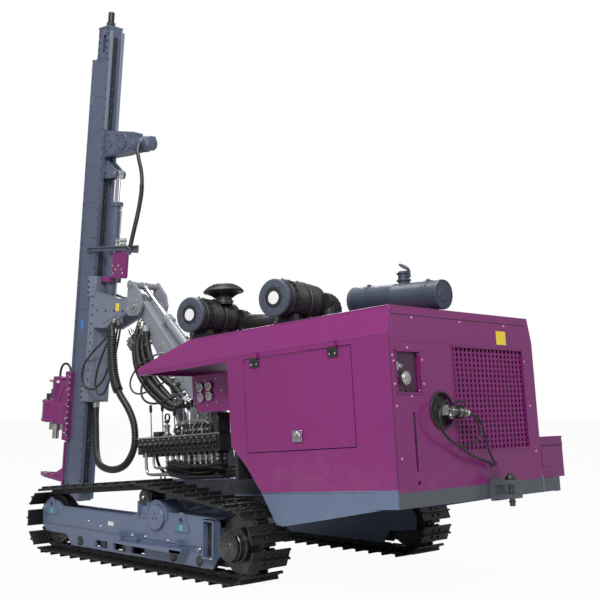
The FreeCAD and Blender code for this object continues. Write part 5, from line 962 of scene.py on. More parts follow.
def make_skirts_and_beam():
    """Skirt seams, beam ends, tow pin collar and toolbox hardware."""
    seams = Piece(HOUSE)
    for side, face in HOUSE_SIDES:
        seams.tube([(-2640, face + side, 628), (-1478, face + side, 628)], 5, 8)
        seams.slab((-2787, -2600), (face - side * 12, face + side * 7), (506, 632))
    seams.done("skirt_seams", frame_paint, "carrier", "bluegrey", 1.5)
    beam = Piece(HOUSE)
    beam.block((REAR_X - 6, -1038, 500), (REAR_X + 4, -960, 616))
    for near in (47, 163):
        beam.prism([(-2965, 608), (-2790, 640), (-2790, 600), (-2950, 600)], "side", near, near + 10)
    beam.done("beam_end_plates", beam_paint, "carrier", "darkgrey", 2)
    pin = Piece(HOUSE)
    pin.turned([(0, 40), (4, 42), (16, 42), (20, 34), (28, 34), (32, 30), (34, 1)],
               (-2915, -110, 637), "z", 28)
    pin.turned([(0, 27), (12, 27)], (-2915, -110, 470), "z", 6)
    pin.done("tow_pin_fittings", dark_steel, "carrier", "steel", 0.8)
    box_trim = Piece(HOUSE)
    box_trim.block((-2764, -1168, 876), (-2456, -1160, 890))
    box_trim.prism([(-2764, 700), (-2758, 700), (-2758, 860), (-2764, 860)], "side", 830, 1130)
    box_trim.done("toolbox_trim", purple_paint, "carrier", "purple", 1.5)
    hasp = Piece(HOUSE)
    hasp.block((-2640, -1172, 868), (-2584, -1164, 908))
    hasp.ring(7, 13, 5, (-2612, -1172, 876), "-y", 18)
    hasp.done("toolbox_hasp", steel, "toolbox_lid", "silver", 1)


make_skirts_and_beam()


GAUGE_FACE = 740


def make_gauges():
    """Four round gauges and the screws of their panel."""
    rims, faces, screws, needles = Piece(HOUSE), Piece(HOUSE), Piece(HOUSE), Piece(HOUSE)
    for n, (x, z) in enumerate([(-450, 1512), (-560, 1516), (-455, 1425), (-565, 1429)]):
        rims.turned([(12, 42), (18, 42), (26, 38), (27, 32), (21, 31)],
                    (x, GAUGE_FACE, z), "y", 40, caps=False)
        rims.turned([(16, 4), (24, 4), (24, 1)], (x, GAUGE_FACE, z), "y", 12)
        faces.turned([(12, 34), (20, 34), (20, 1)], (x, GAUGE_FACE, z), "y", 32)
        angle = math.radians(200 - 60 * n)
        needles.tube([(x, 761.5, z), (x + 24 * math.cos(angle), 761.5, z + 24 * math.sin(angle))], 1.4, 6)
        for k in range(9):
            turn = math.radians(220 - 32.5 * k)
            needles.tube([(x + 24 * math.cos(turn), 760.4, z + 24 * math.sin(turn)),
                          (x + 29 * math.cos(turn), 760.4, z + 29 * math.sin(turn))], 0.9, 5)
    for x, z in ((-500, 1570), (-640, 1575), (-380, 1560), (-400, 1380), (-640, 1370),
                 (-520, 1355), (-700, 1470),
                 (-860, 1560), (-860, 1340), (-1000, 1450)):
        screws.bolt((x, GAUGE_FACE, z), "y", 6.5, 6)
    rims.done("gauge_rims", chrome, "carrier", "chrome", 0.6)
    faces.done("gauge_faces", gauge_white, "carrier", "silver", 0)
    needles.done("gauge_needles", grip_plastic, "carrier", "black", 0)
    screws.done("gauge_panel_screws", steel, "carrier", "silver", 0.4)


# Each lever's place ahead and its height above the valve bank.
LEVERS = [(410, 240), (240, 240), (70, 190), (-60, 250), (-120, 235), (-180, 250), (-240, 235), (-300, 250),
          (-360, 235), (-420, 250)]


VALVE_TOP = 1110
VALVES, VALVE_START, VALVE_PITCH = 14, 440, 76
SECTIONS, SECTION_START, SECTION_PITCH = 9, -30, 56
HOSED, HOSE_PORTS = 4, 944


def make_console():
    """Levers, spool sections, rails and fittings of the operator's console."""
    stems, grips = Piece(HOUSE), Piece(HOUSE)
    for x, tall in LEVERS:
        stems.turned([(0, 16), (10, 16), (14, 9), (34, 9), (38, 6), (tall, 6)], (x, 625, VALVE_TOP), "z", 14)
        grips.turned([(0, 8), (6, 13), (16, 14.5), (52, 13), (64, 14), (70, 9), (71, 1)],
                     (x, 625, VALVE_TOP + tall), "z", 18)
        stems.bolt((x, 700, 1066), "y", 8, 9)
    made = stems.done("lever_stems", steel, "carrier", "silver", 0.4)
    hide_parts("control_levers")
    grips.done("lever_grips", grip_plastic, "carrier", "black", 0.6)
    knob = Piece(HOUSE)
    knob.ring(26, 37, 14, (170, 632, 1292), "-y", 28)
    knob.turned([(0, 24), (8, 26), (16, 26), (22, 14), (22, 1)], (170, 632, 1262), "-z", 20)
    knob.done("regulator_wheel", grip_plastic, "carrier", "black", 1)
    silver = Piece(HOUSE)
    silver.turned([(0, 30), (40, 30), (44, 24), (90, 24), (94, 30), (112, 30), (116, 10), (160, 9)],
                  (170, 632, 1112), "z", 24)
    silver.block((140, 600, 1110), (200, 664, 1140))
    silver.tube([(520, 702, 1116), (-612, 702, 1116)], 8, 10)
    silver.tube([(520, 702, 1116), (520, 560, 1116)], 8, 10)
    for points in ([(-30, 700, 1120), (-30, 712, 1180), (-120, 716, 1230),
                    (-420, 716, 1232), (-480, 700, 1200)],
                   [(-250, 690, 1118), (-262, 690, 1180), (-330, 690, 1250), (-330, 690, 1290)],
                   [(-380, 690, 1118), (-380, 690, 1190), (-470, 690, 1260)],
                   [(-100, 690, 1118), (-112, 690, 1180), (-60, 690, 1240), (-60, 690, 1300)]):
        silver.tube(smooth_line(points), 7, 10)
    silver.done("console_rails", steel, "carrier", "silver", 0.8)
    block = Piece(HOUSE)
    for n in range(VALVES):
        x = VALVE_START - n * VALVE_PITCH
        block.block((x - 30, 544, 1108), (x + 30, 706, 1124))
        block.block((x - 31, 698, 986), (x + 31, 712, 1094))
        block.turned([(0, 21), (26, 21), (30, 16), (44, 16), (46, 1)], (x, 712, 1050), "y", 16)
        block.turned([(0, 15), (20, 15), (22, 10)], (x, 712, 1008), "y", 6)
        block.block((x - 24, 560, 944), (x + 24, 690, 972))
    for n in range(SECTIONS):
        x = SECTION_START - n * SECTION_PITCH
        block.block((x - 20, 560, 1124), (x + 20, 690, 1188))
        block.turned([(0, 17), (26, 17), (30, 10)], (x, 654, 1188), "z", 14)
    block.block((-600, 560, 1124), (-540, 700, 1290))
    block.block((230, 552, 1124), (300, 690, 1168))
    block.done("valve_sections", black_paint, "carrier", "black", 2)
    ports = Piece(HOUSE)
    for n in range(VALVES):
        x = VALVE_START - n * VALVE_PITCH
        if n >= HOSED:
            for y, long in ((668, 16), (600, 34)):
                ports.turned([(0, 17), (16, 17), (18, 12), (30, 12), (32, 19), (50, 19), (54, 13),
                              (54 + long, 12), (56 + long, 15), (70 + long, 15)],
                             (x, y, HOSE_PORTS), "-z", 14)
        ports.bolt((x, 706, 1094), "y", 6, 6)
    for n in range(SECTIONS):
        x = SECTION_START - n * SECTION_PITCH
        ports.turned([(0, 12), (14, 12), (18, 8), (34, 8)], (x, 600, 1188), "z", 6)
        ports.turned([(0, 9), (18, 9), (22, 13), (30, 13)], (x, 690, 1156), "y", 6)
    pipe = smooth_line([(410, 690, 985), (410, 694, 900), (398, 694, 812), (350, 694, 790), (200, 694, 786),
                        (60, 690, 784)])
    ports.tube(pipe, 14, 12)
    ports.tube(smooth_line([(340, 660, 970), (338, 664, 880), (310, 664, 846),
                            (210, 662, 842), (150, 660, 842)]),
               11, 12)
    ports.done("console_fittings", steel, "carrier", "silver", 0.5)
    lines = Piece(HOUSE)
    for n in range(HOSED, VALVES):
        x = VALVE_START - n * VALVE_PITCH
        for y, long, back in ((668, 16, 0), (600, 34, 40), (640, 26, 70)):
            top = HOSE_PORTS - 70 - long
            route = [(x, y, top), (x, y, top - 40), (x - 30, y - 20, top - 84 + back * 0.4),
                     (x - 150, y - 30 + back * 0.4, 800 - back * 0.3),
                     (x - 300, y - 40 + back, 770 - back * 0.2)]
            lines.tube(smooth_line(route, 5), 14, 10)
    rng = random.Random(12)
    for n in range(16):
        y, z = 560 + 11 * n, 756 + rng.uniform(0, 120)
        start = 60 + rng.uniform(-60, 60)
        lines.tube(smooth_line([(start, y, z + 30), (start - 180, y + rng.uniform(-20, 20), z),
                                (start - 420, y + rng.uniform(-20, 20), z - 10 + rng.uniform(-24, 24)),
                                (start - 700, y + rng.uniform(-20, 20), z + rng.uniform(-24, 24))], 5),
                   rng.uniform(13, 19), 10)
    lines.done("console_hoses", hose_rubber, "carrier", "hose", 0)


make_gauges()
make_console()


# Roof: filters, rain cap, silencer

def make_filters():
    """Both air filters: ribs, end caps, drains, clamps and the ducts behind them."""
    turn = math.radians(8)
    inward = Vector((math.sin(turn), -math.cos(turn), 0))
    ribs, caps, dark, clips, discs = Piece(HOUSE), Piece(HOUSE), Piece(HOUSE), Piece(HOUSE), Piece(HOUSE)
    for ahead in (-590, -1600):
        end = Vector((ahead, 950, 2110))
        profile = [(6, 138), (16, 150), (44, 152), (50, 148), (56, 148), (60, 154), (84, 154), (90, 147)]
        for n in range(5):
            at = 150 + n * 24
            profile += [(at, 147), (at + 3, 152), (at + 11, 152), (at + 14, 147)]
        profile += [(300, 147), (304, 155), (330, 155), (334, 147)]
        for n in range(4):
            at = 350 + n * 24
            profile += [(at, 147), (at + 3, 151), (at + 11, 151), (at + 14, 147)]
        profile += [(470, 147), (490, 140), (501, 120), (501, 1)]
        ribs.turned(profile, end, inward, 56, caps=False)
        one, two = across(inward)
        for a in around(18):
            out = one * math.cos(a) + two * math.sin(a)
            side = inward.cross(out)
            base = end + out * 148
            ring = [[base + inward * s + side * w + out * h for w, h in ((-4, -2), (4, -2), (4, 6), (-4, 6))]
                    for s in (96, 146)]
            ribs.loops(ring)
        caps.turned([(10, 150), (-6, 149), (-14, 142), (-17, 128), (-17, 86), (-12, 82),
                     (-12, 1)], end, inward, 56)
        dark.turned([(-11, 84), (-15, 81), (-15, 54), (-11, 50)], end, inward, 48, caps=False)
        for a in around(8):
            out = one * math.cos(a) + two * math.sin(a)
            dark.turned([(-20, 6), (-14, 7)], end + out * 98, inward, 10)
        discs.turned([(-13.5, 50), (-10, 51)], end, inward, 36)
        for n in range(4):
            a = math.radians(40 + 90 * n)
            out = one * math.cos(a) + two * math.sin(a)
            side = inward.cross(out)
            clip = [end + inward * s + out * h for s,
                    h in ((34, 153), (46, 164), (70, 166), (86, 158), (94, 150))]
            for shift in (-10, 10):
                clips.tube([p + side * shift for p in clip], 2.4, 6)
            clips.tube([clip[2] + side * -12, clip[2] + side * 12], 3, 6)
        for at in (120, 316):
            clips.turned([(at, 149), (at, 157), (at + 9, 157), (at + 9, 149)], end, inward, 56, caps=False)
            clips.bolt(end + inward * (at + 4) + Vector((0, 0, 160)), (1, 0, 0), 7, 26)
        dark.turned([(0, 26), (20, 30), (34, 26), (58, 20), (70, 24), (74, 1)],
                    end + inward * 30 + Vector((0, 0, -140)),
                    (0, 0.35, -1), 18)
        for at in (130, 320):
            spot = end + inward * at
            dark.block((spot.x - 130, spot.y - 22, 1888), (spot.x + 130, spot.y + 22, 1976))
    back, front = Vector((-1664, 390, 2060)), Vector((-654, 390, 2060))
    for start in (back, front):
        rings = smooth_line([start + Vector((0, 60, 50)), start + Vector((0, 0, 44)),
                             start + Vector((0, -44, 4)),
                             start + Vector((0, -46, -90)), start + Vector((0, -46, -176))], 6)
        dark.tube(rings, 70, 28, radii=[66 + 5 * (k % 2) for k in range(len(rings))])
    dark.tube(smooth_line([(-640, 400, 2080), (-900, 360, 2050), (-1200, 360, 2000),
                           (-1400, 380, 1910)]), 62, 28)
    ribs.done("filter_ribs", filter_plastic, "carrier", "black", 0.8)
    caps.done("filter_end_caps", cap_plastic, "carrier", "bluegrey", 1.2)
    dark.done("filter_drains_and_ducts", filter_plastic, "carrier", "black", 1)
    clips.done("filter_clamps", dark_steel, "carrier", "steel", 0)
    discs.done("filter_blank_discs", white_label, "carrier", "silver", 0)


def make_rain_cap():
    """The round cap's rim, vanes and clamp."""
    x, y, foot = -652, 620, 2219
    cap = Piece(HOUSE)
    cap.turned([(0, 74), (20, 74), (24, 80), (34, 80), (38, 72), (60, 70)], (x, y, foot - 10), "z", 36)
    cap.turned([(90, 150), (96, 172), (104, 176), (112, 172), (126, 150), (146, 120), (158, 96), (162, 60),
                (162, 1)], (x, y, foot), "z", 64)
    for a in around(36):
        c, s = math.cos(a), math.sin(a)
        line = [(x + r * c, y + r * s, foot + h) for r,
                h in ((172, 108), (150, 130), (120, 150), (96, 161), (66, 165))]
        cap.tube(line, 3.2, 6)
    for a in around(14):
        c, s = math.cos(a), math.sin(a)
        vane = [(x + r * c - w * s, y + r * s + w * c, foot + h)
                for r, w, h in ((70, -2, 44), (70, 2, 44), (138, 8, 92), (138, 4, 92))]
        top = [(px, py, pz + 34) for px, py, pz in vane]
        cap.loops([vane, top])
    cap.turned([(40, 128), (46, 132), (52, 128)], (x, y, foot + 40), "z", 40, caps=False)
    cap.done("rain_cap_vanes", filter_plastic, "carrier", "black", 0.6)
    band = Piece(HOUSE).turned([(8, 75), (8, 83), (18, 83), (18, 75)], (x, y, foot), "z", 40, caps=False)
    band.bolt((x - 20, y + 82, foot + 13), "x", 6, 24)
    band.done("rain_cap_band", dark_steel, "carrier", "steel", 0.3)


DRUM_LENGTH = 880
DRUM_STRAPS = (0.12, 0.8)
FLAP_SHUT = -38


def make_silencer():
    """End rings, outlet, straps and feet of the silencer, and the rain flap's plate."""
    tilt = math.radians(4.5)
    way = Vector((math.cos(tilt), 0, math.sin(tilt)))
    end = Vector((-2590, 110, 2055))
    drum = Piece(HOUSE)
    drum.turned([(-6, 108), (-8, 114), (4, 117), (14, 117), (18, 113.5), (440, 113.5), (444, 115), (452, 115),
                 (456, 113.5), (862, 113.5), (866, 117), (884, 117), (888, 110), (884, 104), (880, 1)],
                end, way, 56, caps=False)
    drum.turned([(-3, 106), (-3, 60), (-8, 56), (-8, 1)], end, way, 48, caps=False)
    outlet = end + way * (0.42 * DRUM_LENGTH)
    drum.turned([(96, 58), (112, 52), (118, 46), (186, 45), (188, 56), (198, 56), (200, 46)],
                outlet, "z", 32, caps=False)
    for share in DRUM_STRAPS:
        at = end + way * (share * DRUM_LENGTH + 20)
        drum.turned([(-22, 114), (-22, 119), (22, 119), (22, 114)], at, way, 56, caps=False)
        drum.block((at.x - 34, 24, 1888), (at.x + 34, 196, 1900))
        drum.bolt((at.x, 108, at.z + 120), "y", 9, 30)
    drum.done("silencer_shell", silencer_paint, "carrier", "darkgrey", 0.8)
    feet = Piece(HOUSE)
    for share in DRUM_STRAPS:
        at = end + way * (share * DRUM_LENGTH + 20)
        feet.bolts([(at.x + x, y, 1900) for x in (-20, 20) for y in (36, 184)], "z", 8, 8)
    feet.done("silencer_bolts", steel, "carrier", "silver", 0.4)
    flap = Piece(HOUSE)
    rest = Matrix.Rotation(math.radians(FLAP_SHUT), 3, "Y")
    pin = outlet + Vector((-51, 0, 208))
    pin = Vector((pin.x, 110, pin.z + 0.5))
    flap.turned([(0, 49), (3, 50), (6, 46), (8, 30), (8, 1)], pin + rest @ Vector((51, 0, 0.8)),
                rest @ Vector((0, 0, 1)), 28)
    flap.loops([[pin + rest @ Vector((x, y, z)) for y, z in ((-9, 6), (9, 6), (9, 12), (-9, 12))]
                for x in (16, 84)])
    flap.done("rain_flap_counterweight", silencer_paint, "rain_flap", "darkgrey", 0.8)


make_filters()
make_rain_cap()
make_silencer()


# Boom and cylinders

BOOM_HALF = 90
PEDESTAL_HALF = 134
BOOM_FOOT = (330, 1365)
LIFT_EYE, TILT_EYE = (760, -175), (345, 217)
PIN_END = [(0, 24), (5, 24), (8, 20), (8, 8), (5, 6), (5, 1)]


def make_boom_details():
    """Plates, pins, clamps and pipes on the boom, and the pedestal and deck round its foot."""
    beam = Piece(BOOM)
    for side in SIDES:
        y = side * BOOM_HALF
        for x, z, radius in ((0, 0, 62), (1425, 0, 60)):
            beam.ring(36, radius, 7, (x, y, z), OUT[side], 40)
        beam.tube([(40, y, -128), (560, y, -139), (1260, y, -92)], 5, 8)
        beam.tube([(140, y, 114), (500, y, 114), (1300, y, 72)], 5, 8)
        beam.prism([(420, -60), (900, -52), (940, -20), (900, 30), (420, 48), (380, 0)], "side",
                   *depths(y, y + side * 6))
    for side in (-1, 1):
        for (x, z), y in ((LIFT_EYE, 68), (TILT_EYE, 82)):
            beam.ring(25, 44, 6, (x, side * y, z), OUT[side], 32)
    beam.done("boom_plates", boom_paint, "boom", "silver", 2, segments=2)
    pins = Piece(BOOM)
    for side, out in OUT.items():
        for (x, z), y in ((LIFT_EYE, 78), (TILT_EYE, 92)):
            pins.turned(PIN_END, (x, side * y, z), out, 24)
        pins.bolts([(x, side * 96, z) for x, z in ((440, -30), (440, 20), (880, -30), (880, 10), (660, -40),
                                                   (660, 26))], out, 9, 8)
    pins.done("boom_pin_ends", steel, "boom", "silver", 0.8)
    clamps = Piece(BOOM)
    for x, z in ((400, -98), (820, -205), (1010, -146)):
        clamps.turned([(-14, 30), (-14, 38), (14, 38), (14, 30)], (x, 137, z), (1, 0, 0), 28, caps=False)
        clamps.block((x - 14, 88, z + 30), (x + 14, 140, z + 42))
    clamps.done("bundle_clamps", dark_steel, "boom", "steel", 0.8)
    pipes = Piece(BOOM)
    for n in range(4):
        z = 40 - n * 26
        pipes.tube(smooth_line([(120, -100, z), (260, -110, z), (600, -110, z), (1180, -106, z)]), 8, 10)
        pipes.turned([(0, 13), (22, 13), (24, 10), (40, 10), (42, 13), (58, 13)], (1180, -106, z), "x", 6)
        pipes.turned([(0, 13), (22, 13), (24, 10), (40, 10)], (122, -102, z), "-x", 6)
    for x in (330, 640, 960):
        pipes.block((x - 14, -122, -52), (x + 14, -90, 54))
    pipes.done("boom_hydraulic_pipes", steel, "boom", "silver", 0.8)
    foot = Piece(HOUSE)
    for side, out in OUT.items():
        y = side * PEDESTAL_HALF
        foot.ring(38, 66, 8, (BOOM_FOOT[0], y, BOOM_FOOT[1]), out, 40)
        foot.turned([(0, 36), (6, 36), (9, 32), (9, 10), (6, 8), (6, 1)],
                    (BOOM_FOOT[0], side * 146, BOOM_FOOT[1]), out, 28)
        foot.slab((300, 380), (side * 146, side * 156), (1404, 1424))
        foot.bolts([(x, side * 156, 1414) for x in (312, 368)], out, 8, 7)
        foot.tube([(105, y, 740), (212, y, 1326), (268, y, 1438)], 6, 8)
        foot.prism([(140, 732), (430, 732), (430, 752), (140, 752)], "side", *depths(y, side * 190))
        foot.prism([(250, 740), (266, 740), (266, 980), (250, 900)], "side", *depths(y, side * 186))
        foot.ring(38, 56, 6, (565, side * 88, 850), out, 36)
    foot.done("pedestal_plates", boom_paint, "carrier", "silver", 2)
    deck = Piece(HOUSE)
    deck.bolts([(x, y, 730) for x in (60, 180, 500, 540) for y in (-560, -300, 300, 560)], "z", 12, 12)
    deck.bolts([(x, y, 752) for x in (160, 410) for y in (-176, 176)], "z", 12, 12)
    for y in (-430, 430):
        deck.ring(26, 40, 14, (500, y, 764), "y", 24)
        deck.block((488, y, 730), (512, y + 14, 742))
    deck.done("deck_bolts", steel, "carrier", "silver", 0.6)
    rim = Piece(HOUSE)
    rim.block((-40, -622, 715), (564, 622, 738))
    rim.block((560, -610, 520), (572, 610, 700))
    rim.block((-1480, 622, 590), (-44, 716, 600))
    rim.tube([(-1470, 712, 730), (-44, 712, 730)], 5, 8)
    rim.done("deck_edges", frame_paint, "carrier", "silver", 3, segments=2)


def make_cylinder_details(name, place, barrel, reach, radius, rod_radius):
    """Gland, end cap, weld rings, ports and a pipe along one cylinder's barrel."""
    shell = Piece(place)
    shell.turned([(52, radius * 0.9), (58, radius + 3), (78, radius + 3), (82, radius + 0.5)],
                 (0, 0, 0), "x", 36,
                 caps=False)
    shell.turned([(barrel - 70, radius + 0.5), (barrel - 66, radius + 7), (barrel - 6, radius + 7),
                  (barrel - 1, radius + 3), (barrel + 6, radius - 4), (barrel + 8, rod_radius + 3),
                  (barrel + 8, rod_radius + 1)], (0, 0, 0), "x", 36, caps=False)
    for n in range(3):
        at = barrel - 54 + n * 16
        shell.turned([(at, radius + 6.5), (at + 2, radius + 9), (at + 5, radius + 9), (at + 7, radius + 6.5)],
                     (0, 0, 0), "x", 36, caps=False)
    shell.block((96, -16, radius - 6), (136, 16, radius + 16))
    shell.block((barrel - 120, -16, radius - 6), (barrel - 84, 16, radius + 16))
    shell.done(f"{name}_barrel_fittings", boom_paint, f"{name}_barrel", "slate", 1)
    pipe = Piece(place)
    pipe.tube(smooth_line([(116, 0, radius + 16), (118, 0, radius + 30), (150, 0, radius + 34),
                           (barrel - 140, 0, radius + 34), (barrel - 104, 0, radius + 30),
                           (barrel - 102, 0, radius + 14)]), 7, 10)
    for x in (barrel - 102, 116):
        pipe.turned([(0, 13), (14, 13), (16, 10)], (x, 0, radius + 14), "z", 6)
    pipe.block((barrel / 2 - 12, -14, radius - 2), (barrel / 2 + 12, 14, radius + 28))
    pipe.done(f"{name}_barrel_pipe", steel, f"{name}_barrel", "silver", 0.8)
    eye = Piece(place)
    half = rod_radius + 6
    for side in SIDES:
        eye.ring(24, 41, 4, (reach, side * half, 0), OUT[side], 32)
        eye.turned([(0, 24), (3, 24), (3, 8), (1, 6), (1, 1)], (reach, side * half, 0), OUT[side], 24)
    eye.turned([(-70, rod_radius + 1), (-64, rod_radius + 8), (-44, rod_radius + 8), (-38, rod_radius + 2)],
               (reach, 0, 0), "x", 28, caps=False)
    eye.turned([(0, 5), (8, 5), (10, 3), (14, 4), (16, 1)], (reach, 0, 42), "z", 10)
    eye.done(f"{name}_rod_eye", steel, f"{name}_rod", "silver", 0.6)


make_boom_details()
make_cylinder_details("lift", LIFT, 620, 1068.8, 52, 28)
make_cylinder_details("tilt", TILT, 780, 1299.2, 48, 24)


# Boom head, cradle and mast

HEAD_HALF = 180
CRADLE_HALF = 125
MAST_HALF = 83
RAIL_HALF = 95
SLED_HALF = 118
SHIFT_AXIS = -235
CHAIN_LINK = [(-19, -17), (-15, -21), (-5, -21), (-1, -17), (-3, 0), (-1, 17), (-5, 21), (-15, 21), (-19, 17),
              (-17, 0)]


def make_head_and_cradle():
    """Bosses, pins, bolts, ribs and the valve cover on the boom head and the cradle."""
    back, rise = -900, 2440
    head = Piece(MAST)
    for side, out in OUT.items():
        y = side * HEAD_HALF
        head.ring(38, 66, 8, (back, y, rise), out, 40)
        head.ring(26, 46, 6, (-815, y, rise + 225), out, 32)
        head.tube([(-972, y, rise - 64), (-882, y, rise - 92), (-816, y, rise - 87), (-786, y, rise - 38),
                   (-786, y, rise + 88), (-784, y, rise + 206)], 4, 8)
    head.done("boom_head_bosses", boom_paint, "boom_head", "silver", 1.5, segments=2)
    steelwork = Piece(MAST)
    for side, out in OUT.items():
        steelwork.turned([(0, 35), (6, 35), (9, 30), (9, 10), (6, 8), (6, 1)],
                         (back, side * 190, rise), out, 28)
        steelwork.turned([(0, 24), (4, 24), (6, 20), (6, 1)], (-815, side * 190, rise + 225), out, 24)
        steelwork.bolts([(back - 46, side * HEAD_HALF, rise + 62),
                         (back + 40, side * HEAD_HALF, rise + 66)], out, 9, 8)
    steelwork.bolt_circle((-806, 0, rise + 30), "-x", 92, 12, 11, 9)
    steelwork.done("boom_head_pins", steel, "boom_head", "silver", 0.8)
    cradle = Piece(MAST)
    for z in range(1440, 2740, 100):
        for side in SIDES:
            cradle.turned([(0, 12), (2, 12), (2, 8), (9, 8), (10, 6)],
                          (-90, side * CRADLE_HALF, z), OUT[side], 6)
    for side, out in OUT.items():
        cradle.bolts([(8, side * CRADLE_HALF, z) for z in (1440, 1500, 1560, 2580, 2640, 2700)], out, 10, 9)
        cradle.bolts([(-40 - 150 * n, side * CRADLE_HALF, 2390) for n in range(1, 5)], out, 9, 8)
    cradle.bolt_circle((-747, 0, 2470), "x", 92, 12, 11, 9)
    cradle.done("cradle_bolts", dark_bolts, "cradle", "steel", 0.5)
    ribs = Piece(MAST)
    for side in SIDES:
        y = side * CRADLE_HALF
        ribs.tube([(-740, y, 2412), (-594, y, 2318), (-330, y, 2204), (-130, y, 2204)], 5, 8)
        ribs.tube([(-740, y, 2542), (-594, y, 2518), (-330, y, 2558), (-130, y, 2598)], 5, 8)
        for low in (1402, 2538):
            ribs.slab((-132, -28), (y, y + side * 7), (low, low + 220))
        ribs.prism([(-560, 2340), (-300, 2250), (-300, 2290), (-560, 2380)], "side", *depths(y, y + side * 6))
    ribs.block((-150, -70, 1420), (-134, 70, 2160))
    ribs.done("cradle_ribs", cradle_paint, "cradle", "slate", 2)
    plate = Piece(MAST)
    outline = [(-560, 2752), (-350, 2752), (-344, 2800), (-344, 3040), (-400, 3084), (-560, 3084)]
    for start, stop in ((-86, -74), (-40, -32)):
        plate.prism(outline, "side", start, stop)
    plate.block((-562, 40, 2740), (-300, 84, 2760))
    plate.block((-566, 40, 2752), (-554, 84, 3084))
    plate.block((-320, 34, 2700), (-150, 84, 2752))
    plate.done("valve_cover_plate", purple_paint, "cradle", "purple", 2, segments=2)
    valves = Piece(MAST)
    for n in range(4):
        x = -520 + n * 52
        valves.turned([(0, 17), (22, 17), (26, 12), (44, 12), (46, 18), (64, 18), (66, 12), (84, 12)],
                      (x, 62, 3084), "z", 12)
        valves.turned([(0, 13), (8, 13), (10, 9), (14, 9)], (x, 86, 2830 + 40 * (n % 2)), "y", 6)
    valves.bolts([(x, 86, z) for x in (-536, -370) for z in (2790, 3020)], "y", 9, 8)
    valves.done("valve_cover_fittings", steel, "cradle", "silver", 0.6)
    block = Piece(MAST)
    block.block((-548, 42, 3040), (-350, 74, 3088))
    block.turned([(-40, 62), (-40, 70), (0, 72), (8, 66), (12, 40)],
                 (SHIFT_AXIS, 0, 3567), "z", 36, caps=False)
    for z in (2400, 2760, 3200):
        block.turned([(0, 56), (3, 60), (24, 60), (27, 56)], (SHIFT_AXIS, 0, z), "z", 36, caps=False)
    block.block((-305, -20, 2380), (-286, 20, 2420))
    block.done("shift_cylinder_collars", mast_paint, "cradle", "slate", 1)
    pipe = Piece(MAST)
    pipe.tube(smooth_line([(-300, 0, 2400), (-318, 0, 2402), (-322, 0, 2440),
                           (-322, 0, 3440), (-316, 0, 3476),
                           (-290, 0, 3480)]), 8, 10)
    pipe.turned([(0, 14), (16, 14), (18, 10)], (-290, 0, 3480), "-x", 6)
    pipe.done("shift_cylinder_pipe", steel, "cradle", "silver", 0.8)


def make_mast_details():
    """Trim, wear strips, bolts, chain links and head wheel of the mast."""
    trim = Piece(MAST)
    for side in SIDES:
        y = side * MAST_HALF
        for x in (4, 246):
            trim.tube([(x, y, 340), (x, y, 5188)], 5, 6)
        for z in range(420, 5180, 395):
            trim.slab((60, 190), (y, y + side * 3), (z, z + 26))
        trim.slab((-4, 210), (y, y + side * 5), (5190, 5206))
        trim.slab((-4, 210), (y, y + side * 5), (5530, 5550))
        trim.slab((200, 282), (y, y + side * 8), (330, 500))
    trim.block((250, -98, 5176), (284, 98, 5192))
    trim.block((60, -60, 5550), (160, 60, 5566))
    trim.done("mast_trim", mast_paint, "mast", "slate", 1)
    strips = Piece(MAST)
    for side in SIDES:
        strips.slab((-32, -29), (side * 54, side * 93), (4384, 5480))
    strips.done("mast_wear_strips", cradle_paint, "mast", "slate", 0.5)
    heads = Piece(MAST)
    for side, out in OUT.items():
        for z in range(380, 5150, 110):
            heads.turned([(0, 8), (6, 8), (7, 6)], (265, side * RAIL_HALF, z), out, 6)
            heads.turned([(0, 8), (6, 8), (7, 6)], (-15, side * RAIL_HALF, z + 50), out, 6)
        heads.bolts([(x, side * 88, z) for x in (30, 180) for z in (5230, 5300, 5380, 5460, 5510)], out, 9, 8)
        heads.bolts([(x, side * 91, z) for x in (215, 265) for z in (350, 410, 470)], out, 10, 9)
    heads.bolts([(-60, y, z) for y in (-60, 60) for z in (3860, 3900, 4010)], "-x", 9, 8)
    heads.done("mast_bolts", dark_bolts, "mast", "steel", 0)
    chain = Piece(MAST)
    for low, high in ((394, 4040), (4388, 5418)):
        count = int((high - low) / 38)
        for n in range(count):
            z = low + (n + 0.5) * (high - low) / count
            y = 15 if n % 2 else 11
            for side in SIDES:
                chain.prism([(x, z + rise) for x, rise in CHAIN_LINK], "side",
                            *depths(side * y, side * (y + 4)))
            chain.turned([(0, 6), (42, 6)], (-10, 21, z + 19), "-y", 8)
            chain.turned([(0, 9), (18, 9)], (-10, 9, z + 19), "-y", 10)
    profile = [(0, 46), (14, 46), (18, 34)]
    for n in range(14):
        at = 22 + n * 11
        profile += [(at, 31), (at + 4, 36), (at + 7, 36), (at + 11, 31)]
    profile += [(180, 28), (185, 20), (185, 1)]
    chain.turned(profile, (110, 0, 5550), "z", 28)
    chain.turned([(0, 54), (26, 54)], (110, 0, 5580), "z", 6)
    made = chain.done("feed_chain_links", dark_steel, "mast", "steel", 0)
    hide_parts("feed_chain")
    wheel = Piece(MAST)
    outline = []
    for n in range(14):
        for reach, spread in ((66, -0.17), (78, -0.07), (78, 0.07), (66, 0.17)):
            a = 2 * math.pi * n / 14 + spread
            outline.append((90 + reach * math.cos(a), 5350 + reach * math.sin(a)))
    wheel.prism(outline, "side", -9, 9)
    wheel.turned([(-60, 20), (60, 20)], (90, 0, 5350), "y", 20)
    wheel.done("mast_head_wheel", dark_steel, "mast", "steel", 1)


MOTOR_END = (-530, 0, 4170)


